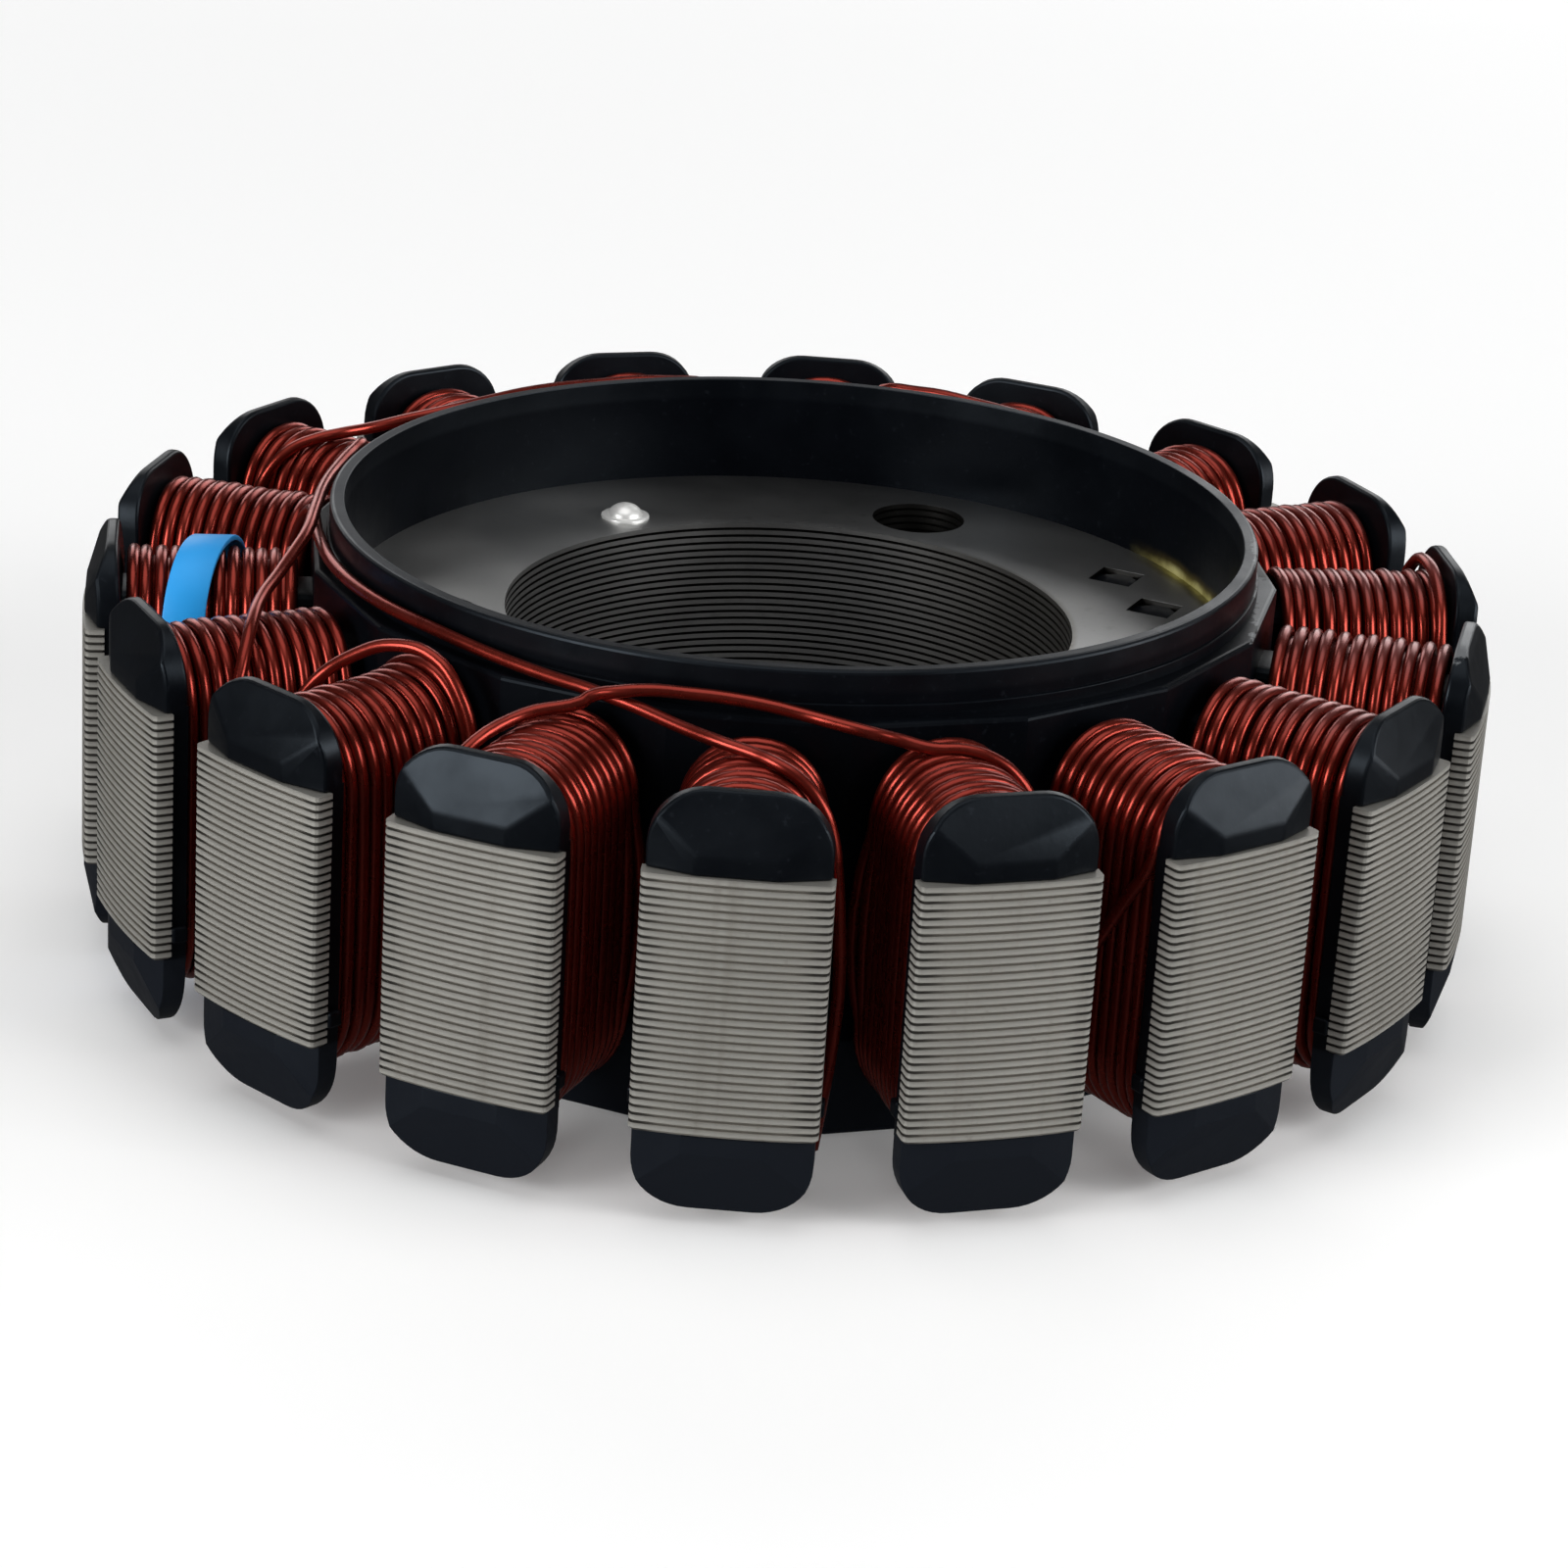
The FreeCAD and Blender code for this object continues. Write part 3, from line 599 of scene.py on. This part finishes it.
def stack_rivet():
    """A riveted pin with a low round head on a thin collar at each end."""
    x, y = round_place(RIVET_ANGLE, RIVET_CIRCLE)
    heads = []
    for face, outwards in ((STACK_HIGH, 1.0), (STACK_LOW, -1.0)):
        bpy.ops.object.select_all(action="DESELECT")
        bpy.ops.mesh.primitive_uv_sphere_add(
            segments=32, ring_count=20, radius=RIVET_HEAD, location=(x, y, face))
        head = sliced(added("rivet_head"), (x, y, face), (0.0, 0.0, -outwards))
        edit(head, "FACE", lambda centre, normal: True)
        bpy.ops.transform.resize(value=(1.0, 1.0, RIVET_FLATTENING), center_override=(x, y, face))
        leave()
        low, high = sorted((face, face + outwards * RIVET_COLLAR_HEIGHT))
        collar = round_bar("rivet_collar", RIVET_COLLAR, low, high, 40, x, y)
        edit(collar, "EDGE", lambda a, b: abs(a.z - b.z) < 0.01 * MM and abs(a.z - face) > 0.1 * MM)
        bpy.ops.mesh.bevel(offset=0.1 * MM, segments=2)
        leave()
        heads += [head, collar]
    heads.append(round_bar("rivet_shank", RIVET_SHANK, STACK_LOW, STACK_HIGH, 24, x, y))
    return smooth(joined("stack_rivet_body", heads), 40.0)


# Moulded insulator, drawn with the end face of the stack at Z = 0


def insulator_ring(strip, wall, collar):
    ring = pole_prism("ring", WALL_APOTHEM, -strip, wall)
    edit(ring, "FACE", lambda centre, normal: normal.z > 0.9)
    bpy.ops.mesh.bevel(offset=WALL_EDGE, segments=3, affect="EDGES")
    leave()
    top = wall + collar
    if collar > 0.0:
        step = round_bar("step", COLLAR_RADIUS + COLLAR_STEP, -strip, wall + COLLAR_STEP_HEIGHT, 180)
        rise = round_bar("collar", COLLAR_RADIUS, -strip, top, 180)
        for part, size in ((step, STEP_EDGE), (rise, COLLAR_EDGE)):
            edit(part, "FACE", lambda centre, normal: normal.z > 0.9)
            bpy.ops.mesh.bevel(offset=size, segments=3, affect="EDGES")
            leave()
        combined(ring, step, "UNION")
        combined(ring, rise, "UNION")
    combined(ring, round_bar("inside", RING_INNER, -strip - MM, top + MM, 180))

    def at_inner_rim(point):
        return point.z > top - 0.01 * MM and point.xy.length < RING_INNER + 0.05 * MM

    edit(ring, "EDGE", lambda a, b: at_inner_rim(a) and at_inner_rim(b))
    bpy.ops.mesh.bevel(offset=RIM_EDGE, segments=2)
    leave()
    return ring


def tab(height):
    """The tab over the shoe and the top of the coil flange, cut to its facets."""
    piece = block("tab", FLANGE_BACK, TAB_FRONT, FLANGE_HALF, 0.0, height)
    edit(piece, "EDGE", lambda a, b: abs(a.x - b.x) > MM and min(a.z, b.z) > MM)
    bpy.ops.mesh.bevel(offset=TAB_CORNER, segments=10)
    leave()
    back = Vector((TAB_FRONT - TAB_TIP, 0.0, height - TAB_UPRIGHT))
    sliced(piece, (TAB_FRONT, 0.0, TAB_UPRIGHT), (back.z, 0.0, back.x))
    for side in (-1.0, 1.0):
        run = Vector((-FACET_FALL, side * (FLANGE_HALF + NUB - FACET_HALF), 0.0))
        sliced(piece, (TAB_FRONT, side * FACET_HALF, 0.0), (abs(run.y), side * FACET_FALL, 0.0))
    lean = Vector((TAB_LEAN, 0.0, height - SLEEVE_TOP))
    sliced(piece, (FLANGE_BACK, 0.0, SLEEVE_TOP), (-lean.z, 0.0, lean.x))
    return shaped(piece, "BEVEL", width=TAB_EDGE, segments=3, limit_method="ANGLE",
                  angle_limit=math.radians(14.0))


def pole_arm(strip, height, nub_sides):
    """Sleeve round one tooth, with the coil flange and its tab."""
    arm = block("arm", WALL_APOTHEM - LINING, SHOE_BACK, SLEEVE_HALF, -strip, SLEEVE_TOP)
    edit(arm, "EDGE", lambda a, b: abs(a.x - b.x) > MM and min(a.z, b.z) > 0.0)
    bpy.ops.mesh.bevel(offset=SLEEVE_EDGE, segments=4)
    leave()
    flange = block("flange", FLANGE_BACK, SHOE_BACK, FLANGE_HALF, -strip, 0.5 * MM)
    combined(arm, flange, "UNION")
    for side in nub_sides:
        ear = block("nub", FLANGE_BACK, SHOE_BACK, NUB, -strip, -strip + NUB_HEIGHT)
        pick(ear)
        bpy.ops.transform.translate(value=(0.0, side * FLANGE_HALF, 0.0))
        shaped(settled(ear), "BEVEL", width=0.2 * MM, segments=2)
        combined(arm, ear, "UNION")
    combined(arm, tab(height), "UNION")
    steel_tooth = block("steel", YOKE_APOTHEM - MM, SHOE_BACK + 3.0 * MM, TOOTH_HALF, -strip - MM, 0.0)
    return combined(arm, steel_tooth)


def insulator(name, strip, height, wall, collar, nub_sides):
    body = insulator_ring(strip, wall, collar)
    combined(body, pole_prism("yoke", YOKE_APOTHEM, -strip - MM, 0.0))
    combined(body, on_every_pole(pole_arm(strip, height, nub_sides), "arms"), "UNION")
    body.name = name
    body.data.name = name
    return body


def placed(piece, level, upside_down):
    pick(piece)
    piece.rotation_euler = (math.pi if upside_down else 0.0, 0.0, 0.0)
    piece.location = (0.0, 0.0, level)
    return smooth(settled(piece), 13.0)


# Winding


def arch_place(half, rise, turn):
    """A place on the rounded upper end of a winding, by its turn from the middle."""
    across = half * math.copysign(abs(math.sin(turn)) ** (2.0 / ROUNDNESS), turn)
    return across, SHOULDER + (rise - SHOULDER) * abs(math.cos(turn)) ** (2.0 / ROUNDNESS)


def loop_points(half, rise, bows, arch_steps, side_steps):
    """Places (across, up) once round a winding from the middle of its underside."""
    arch = [arch_place(half, rise, math.pi / 2.0 * step / arch_steps)
            for step in range(-arch_steps, arch_steps + 1)]
    sides = []
    for sign, bow in zip((1.0, -1.0), bows):
        shares = [2.0 * step / side_steps - 1.0 for step in range(1, side_steps)]
        sides.append([(sign * (half + bow * (1.0 - share * share)), sign * share * SHOULDER)
                      for share in shares])
    start = [(across, -up) for across, up in arch[arch_steps:-1]]
    over_top = [(-across, up) for across, up in arch]
    back = [(across, -up) for across, up in arch[:arch_steps]]
    return start + sides[0] + over_top + sides[1] + back


def wire_piece(name, points, radius, resolution, smooth_curve=False):
    """A round wire along the points, as a mesh."""
    curve = bpy.data.curves.new(name, "CURVE")
    curve.dimensions = "3D"
    curve.bevel_depth = radius
    curve.bevel_resolution = resolution
    curve.use_fill_caps = True
    curve.resolution_u = 5
    if smooth_curve:
        spline = curve.splines.new("BEZIER")
        spline.bezier_points.add(len(points) - 1)
        for knot, point in zip(spline.bezier_points, points):
            knot.co = point
            knot.handle_left_type = "AUTO"
            knot.handle_right_type = "AUTO"
    else:
        spline = curve.splines.new("POLY")
        spline.points.add(len(points) - 1)
        for knot, point in zip(spline.points, points):
            knot.co = (*point, 1.0)
    piece = bpy.data.objects.new(name, curve)
    bpy.context.collection.objects.link(piece)
    pick(piece)
    bpy.ops.object.convert(target="MESH")
    piece = bpy.context.active_object
    bpy.ops.object.mode_set(mode="EDIT")
    bpy.ops.mesh.select_all(action="SELECT")
    bpy.ops.mesh.remove_doubles(threshold=0.001 * MM)
    bpy.ops.mesh.normals_make_consistent(inside=False)
    leave()
    return smooth(piece, 50.0)


# How far the innermost turn of a coil stands off beside it, and above it, in millimetres
LOOSE_BOWS = {(0, 1): 0.3, (1, -1): 1.1, (17, 1): 0.9, (2, -1): 0.3, (16, 1): 0.8}
LOOSE_LIFTS = {16: 0.8, 17: 0.3, 1: 0.2}


def wound_layer(name, pole, depth, turns, start, draw, arch_steps, side_steps, resolution):
    """One layer of turns, each a little uneven."""
    half = COIL_HALF - WIRE_RADIUS - depth
    rise = COIL_RISE - WIRE_RADIUS - depth
    matrix = Matrix.Rotation(pole_turn(pole), 4, "Z") @ Matrix.Translation((0.0, 0.0, STACK_MIDDLE))
    points = []
    for turn in range(turns):
        share = turn / (turns - 1.0)
        bows = []
        for side in (1, -1):
            loose = LOOSE_BOWS.get((pole, side), 0.0) * MM * max(0.0, 1.0 - 7.0 * share)
            bows.append(loose + draw.uniform(-0.04, 0.16) * MM)
        lift = draw.uniform(-0.05, 0.14) * MM + LOOSE_LIFTS.get(pole, 0.0) * MM * max(0.0, 1.0 - 7.0 * share)
        shift = draw.uniform(-0.07, 0.07) * MM
        lean = draw.uniform(-0.10, 0.10) * MM
        outline = loop_points(half, rise + lift, bows, arch_steps, side_steps)
        count = len(outline)
        for i, (across, up) in enumerate(outline):
            crossing = max(0.0, (i / count - 0.86) / 0.14)
            along = start + (turn + crossing) * TURN_PITCH + shift + lean * up / rise
            points.append(matrix @ Vector((along, across, up)))
    return wire_piece(name, points, WIRE_RADIUS, resolution)


def winding(pole):
    draw = random.Random(400 + pole)
    name = "winding_%02d" % (pole + 1)
    start = COIL_START + TURN_PITCH / 2.0
    outer = wound_layer(name, pole, 0.0, TURNS, start, draw, 10, 5, 3)
    inner = wound_layer(name + "_under", pole, UNDER_DEPTH, TURNS - 1, start + TURN_PITCH / 2.0,
                        draw, 6, 2, 1)
    layers = [outer, inner]
    if pole in CROSSINGS:
        layers.append(wire_piece(name + "_crossing", CROSSINGS[pole], WIRE_RADIUS, 3, True))
    return joined(name, layers)


# Crossover wires: a turn is counted in pole pitches from the first pole, a
# depth below the coil top in coil heights, and a stand in wire diameters


def polar(radius, turn, level):
    angle = turn * PITCH - math.pi / 2.0
    return Vector((radius * math.cos(angle), radius * math.sin(angle), level))


def coil_place(pole, along, across, up):
    x = COIL_START + along * COIL_LENGTH
    return polar(math.hypot(x, across), pole + math.atan2(across, x) / PITCH, STACK_MIDDLE + up)


def beside(pole, along, side, below, stand=0.0):
    reach = COIL_HALF + WIRE_RADIUS + stand * WIRE
    return coil_place(pole, along, side * reach, COIL_RISE * (1.0 - 2.0 * below))


def over(pole, along, across, stand=0.0):
    """Over the rounded end of a winding, square to its surface."""
    turn = across * math.pi / 2.0
    aside, up = arch_place(COIL_HALF, COIL_RISE, turn)
    reach = WIRE_RADIUS + stand * WIRE
    return coil_place(pole, along, aside + reach * math.sin(turn), up + reach * math.cos(turn))


def by_collar(turn, drop, stand=0.0):
    radius = COLLAR_RADIUS + WIRE_RADIUS + 0.05 * MM + stand * WIRE
    return polar(radius, turn, RIM_LEVEL - WIRE_RADIUS - drop * WIRE)


def down_slot(turn, below):
    return polar(COIL_START + WIRE, turn, STACK_MIDDLE + COIL_RISE * (1.0 - 2.0 * below))


ROUTES = {
    "crossover_wire_a": [
        down_slot(-4.5, 0.299), down_slot(-4.51, 0.08), by_collar(-4.375, 2.1, 1.3),
        by_collar(-3.95, 2.1, 0.35), by_collar(-3.35, 1.94, 0.24), by_collar(-2.7, 1.8, 0.24),
        by_collar(-2.05, 1.72, 0.24), by_collar(-1.55, 2.07, 0.35), by_collar(-1.2, 2.22, 0.85),
        by_collar(-0.94, 2.22, 1.55), by_collar(-0.66, 2.5, 2.5), by_collar(-0.35, 2.95, 4.4),
        by_collar(-0.14, 3.1, 6.1), over(0, 0.38, 0.0, 0.05), over(0, 0.46, 0.16, 0.05),
        over(0, 0.5, 0.36, 0.05), over(0, 0.54, 0.58, 0.1), over(0, 0.58, 0.8, 0.2),
        beside(0, 0.66, 1.0, 0.23, 0.45), beside(0, 0.74, 1.0, 0.34, 0.85),
        beside(0, 0.78, 1.0, 0.498, 1.15), beside(0, 0.78, 1.0, 0.681, 0.9),
        beside(0, 0.77, 1.0, 0.847, 0.4), beside(0, 0.76, 1.0, 0.96, 0.0),
    ],
    "crossover_wire_b": [
        beside(17, 0.74, -1.0, 0.332, 0.1), over(17, 0.73, -0.75, 0.0), over(17, 0.66, -0.5, 0.1),
        over(17, 0.3, -0.2, 0.3), over(17, 0.13, 0.1, 1.0), by_collar(-0.88, 2.1, 3.2),
        by_collar(-0.73, 1.5, 2.7), by_collar(-0.57, 1.3, 1.95), by_collar(-0.4, 1.4, 1.36),
        by_collar(-0.17, 1.53, 1.07), by_collar(0.06, 1.83, 1.17), by_collar(0.235, 2.19, 1.55),
        by_collar(0.4, 2.41, 2.5), by_collar(0.565, 2.7, 3.4), by_collar(0.73, 3.3, 3.5),
        over(1, 0.18, -0.17, -0.05), over(1, 0.22, 0.05, -0.3), over(1, 0.26, 0.25, -0.35),
        over(1, 0.31, 0.5, -0.35), over(1, 0.35, 0.8, -0.3), beside(1, 0.37, 1.0, 0.332, -0.3),
    ],
    "crossover_wire_c": [
        beside(15, 0.76, 1.0, 0.332, 0.0), over(15, 0.73, 0.8, 0.0), over(15, 0.67, 0.58, 0.0),
        over(15, 0.605, 0.38, 0.05), over(15, 0.54, 0.2, 0.1), over(15, 0.37, -0.15, 0.65),
        by_collar(-3.325, 2.4, 4.7), by_collar(-3.5, 1.7, 3.05), by_collar(-3.72, 1.0, 1.5),
        by_collar(-4.06, 0.6, 0.6), by_collar(-4.5, 0.5, 0.35), by_collar(-4.85, 0.45, 0.35),
        by_collar(-5.14, 0.17, 0.35), by_collar(-5.35, 0.3, 0.6), down_slot(-5.49, 0.04),
        down_slot(-5.5, 0.233),
    ],
    "crossover_wire_d": [
        beside(12, 0.82, 1.0, 0.332, 0.0), over(12, 0.81, 0.8, 0.0), over(12, 0.76, 0.55, 0.0),
        over(12, 0.69, 0.37, 0.05), over(12, 0.6, 0.2, 0.05), over(12, 0.5, 0.02, 0.15),
        by_collar(-6.06, 2.4, 6.0), by_collar(-6.17, 1.6, 3.9), by_collar(-6.3, 1.0, 2.2),
        by_collar(-6.62, 0.42, 0.79), by_collar(-7.0, 0.14, 0.48), by_collar(-7.5, 0.19, 0.52),
        by_collar(-7.95, 0.29, 0.67), by_collar(-8.3, 1.14, 1.05), down_slot(-8.51, 0.073),
        down_slot(-8.5, 0.249),
    ],
    "crossover_wire_e": [
        beside(9, 0.2, -1.0, 0.332, 0.0), over(9, 0.17, -0.75, 0.3), by_collar(8.65, 1.14, 2.1),
        by_collar(8.35, 0.14, 1.05), by_collar(7.9, 0.24, 0.48), by_collar(7.4, 0.7, 0.38),
        by_collar(6.925, 1.3, 0.6), down_slot(6.55, 0.053), down_slot(6.51, 0.233),
    ],
    "loose_turn_coil_17": [
        beside(16, 0.6, -1.0, 0.332, 0.0), over(16, 0.58, -0.75, 0.0), over(16, 0.52, -0.45, 0.3),
        over(16, 0.36, -0.2, 1.1), over(16, 0.24, -0.02, 1.7), over(16, 0.15, 0.22, 1.9),
        over(16, 0.12, 0.5, 1.4), over(16, 0.11, 0.8, 1.0), beside(16, 0.11, 1.0, 0.23, 0.75),
        beside(16, 0.11, 1.0, 0.35, 0.5), beside(16, 0.11, 1.0, 0.47, 0.1),
    ],
}

# Last turns that run askew over the turns beside them
CROSSINGS = {
    2: [
        over(2, 0.90, -0.35, -0.5), over(2, 0.95, -0.62, -0.1), beside(2, 0.955, -1.0, 0.19, -0.1),
        beside(2, 0.79, -1.0, 0.318, 0.0), beside(2, 0.60, -1.0, 0.465, 0.0),
        beside(2, 0.48, -1.0, 0.547, 0.0), beside(2, 0.34, -1.0, 0.66, -0.3),
        beside(2, 0.27, -1.0, 0.74, -1.2),
    ],
    5: [
        over(5, 0.90, 0.75, -0.6), over(5, 0.93, 0.4, 0.2), over(5, 0.945, 0.0, 0.55),
        over(5, 0.96, -0.4, 0.5), over(5, 0.955, -0.75, 0.35), beside(5, 0.93, -1.0, 0.24, 0.2),
        beside(5, 0.86, -1.0, 0.36, 0.05),
        beside(5, 0.80, -1.0, 0.50, -0.1), beside(5, 0.76, -1.0, 0.62, -1.2),
    ],
}


# Marker band

BAND_POLE = 14
BAND_WIDTH = 3.5 * MM
BAND_THICK = 0.5 * MM
BAND_PLACE = COIL_START + 0.53 * COIL_LENGTH
BAND_SKEW = 0.32
BAND_SLACK = 0.5 * MM


def marker_band():
    """A flat loop round one coil, from a closed outline drawn out to its width."""
    slack_half = COIL_HALF + BAND_SLACK / 3.0
    outline = loop_points(slack_half, COIL_RISE + BAND_SLACK, (0.1 * MM, 0.1 * MM), 14, 6)
    curve = bpy.data.curves.new("marker_band_loop", "CURVE")
    curve.dimensions = "2D"
    curve.fill_mode = "NONE"
    curve.extrude = BAND_WIDTH / 2.0
    spline = curve.splines.new("POLY")
    spline.points.add(len(outline) - 1)
    spline.use_cyclic_u = True
    for knot, (across, up) in zip(spline.points, outline):
        knot.co = (across, up, 0.0, 1.0)
    band = bpy.data.objects.new("marker_band_loop", curve)
    bpy.context.collection.objects.link(band)
    pick(band)
    bpy.ops.object.convert(target="MESH")
    band = bpy.context.active_object
    upright = Matrix(((0.0, 0.0, 1.0), (1.0, 0.0, 0.0), (0.0, 1.0, 0.0))).to_4x4()
    turned = Matrix.Rotation(pole_turn(BAND_POLE), 4, "Z")
    place = turned @ Matrix.Translation((BAND_PLACE, 0.0, STACK_MIDDLE))
    askew = Matrix.Identity(4)
    askew[0][1] = BAND_SKEW
    band.data.transform(place @ askew @ upright)
    settled(band)
    bpy.ops.object.mode_set(mode="EDIT")
    bpy.ops.mesh.select_all(action="SELECT")
    bpy.ops.mesh.remove_doubles(threshold=0.001 * MM)
    bpy.ops.mesh.normals_make_consistent(inside=False)
    leave()
    shaped(band, "SOLIDIFY", thickness=BAND_THICK, offset=1.0)
    shaped(band, "BEVEL", width=0.14 * MM, segments=2, limit_method="ANGLE",
           angle_limit=math.radians(50.0))
    return smooth(band, 35.0)


# Assembly


steel = sheet_steel()
moulding = black_moulding()
enamel = enamelled_copper()
blue = blue_plastic()
bright = bright_steel()

finished(smooth(lamination_stack(), 25.0), steel, "sheet_steel", "core_stack")
finished(stack_rivet(), bright, "bright_steel", "stack_rivet")
collar_height = RIM_LEVEL - STACK_HIGH - UPPER_WALL
upper = insulator("upper_moulding", UPPER_STRIP, UPPER_TAB, UPPER_WALL, collar_height, (-1.0, 1.0))
finished(placed(upper, STACK_HIGH, False), moulding, "black_moulding", "upper_insulator")
lower = insulator("lower_moulding", LOWER_STRIP, LOWER_TAB, LOWER_WALL, 0.0, ())
finished(placed(lower, STACK_LOW, True), moulding, "black_moulding", "lower_insulator")
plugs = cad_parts["window_plugs"]
plugs.data.materials.clear()
plugs.data.materials.append(moulding)
for pole in range(POLES):
    finished(winding(pole), enamel, "enamelled_copper", "coil_%02d" % (pole + 1))
for node, route in ROUTES.items():
    finished(wire_piece(node + "_round", route, WIRE_RADIUS, 3, True), enamel, "enamelled_copper", node)
finished(marker_band(), blue, "blue_plastic", "marker_band")


# Floor, camera and light

FLOOR_SIZE = 6.0
FLOOR_GAP = 0.2 * MM
WORLD_STRENGTH = 0.07

bpy.ops.object.select_all(action="DESELECT")
bpy.ops.mesh.primitive_plane_add(size=FLOOR_SIZE, location=(0.0, 0.0, -FLOOR_GAP))
floor = added("floor")
floor.data.materials.append(pale_floor())
floor.visible_glossy = False

CAMERA_PLACE = Vector((15.32 * MM, -360.77 * MM, 156.20 * MM))
CAMERA_YAW = -0.04105
CAMERA_PITCH = 0.3763
CAMERA_ROLL = 0.063
CAMERA_LENS = 103.935

camera = bpy.data.objects.new("camera", bpy.data.cameras.new("camera"))
bpy.context.collection.objects.link(camera)
ahead = Vector((math.sin(CAMERA_YAW) * math.cos(CAMERA_PITCH), math.cos(CAMERA_YAW) * math.cos(CAMERA_PITCH),
                -math.sin(CAMERA_PITCH)))
right = Vector((math.cos(CAMERA_YAW), -math.sin(CAMERA_YAW), 0.0))
upward = right.cross(ahead)
tilted_right = math.cos(CAMERA_ROLL) * right + math.sin(CAMERA_ROLL) * upward
tilted_up = math.cos(CAMERA_ROLL) * upward - math.sin(CAMERA_ROLL) * right
turned = Matrix((tilted_right, tilted_up, -ahead)).transposed()
camera.matrix_world = Matrix.Translation(CAMERA_PLACE) @ turned.to_4x4()
camera.data.lens = CAMERA_LENS
camera.data.sensor_width = 36.0
camera.data.clip_start = 0.01
bpy.context.scene.camera = camera


def soft_light(name, place, size, power, aim=(0.0, 0.0, 0.015)):
    bpy.ops.object.light_add(type="AREA", location=place)
    lamp = bpy.context.active_object
    lamp.name = name
    lamp.data.size = size
    lamp.data.energy = power
    lamp.rotation_euler = (Vector(aim) - Vector(place)).to_track_quat("-Z", "Y").to_euler()


# Name, place, size and power
LIGHTS = (
    ("left_light", (-0.55, -0.52, 0.23), 0.40, 4.8),
    ("right_light", (0.60, -0.32, 0.32), 0.34, 2.4),
    ("side_light", (0.76, -0.03, 0.14), 0.36, 2.6),
    ("back_left_light", (-0.38, 0.70, 0.34), 0.46, 1.3),
    ("back_right_light", (0.27, 0.74, 0.33), 0.46, 1.6),
    ("top_light", (-0.05, -0.10, 0.85), 0.8, 2.8),
)
for light in LIGHTS:
    soft_light(*light)

world = bpy.data.worlds.new("studio")
world.use_nodes = True
world.node_tree.nodes["Background"].inputs["Color"].default_value = (1.0, 1.0, 1.0, 1.0)
world.node_tree.nodes["Background"].inputs["Strength"].default_value = WORLD_STRENGTH
bpy.context.scene.world = world
bpy.context.scene.view_settings.view_transform = "Standard"
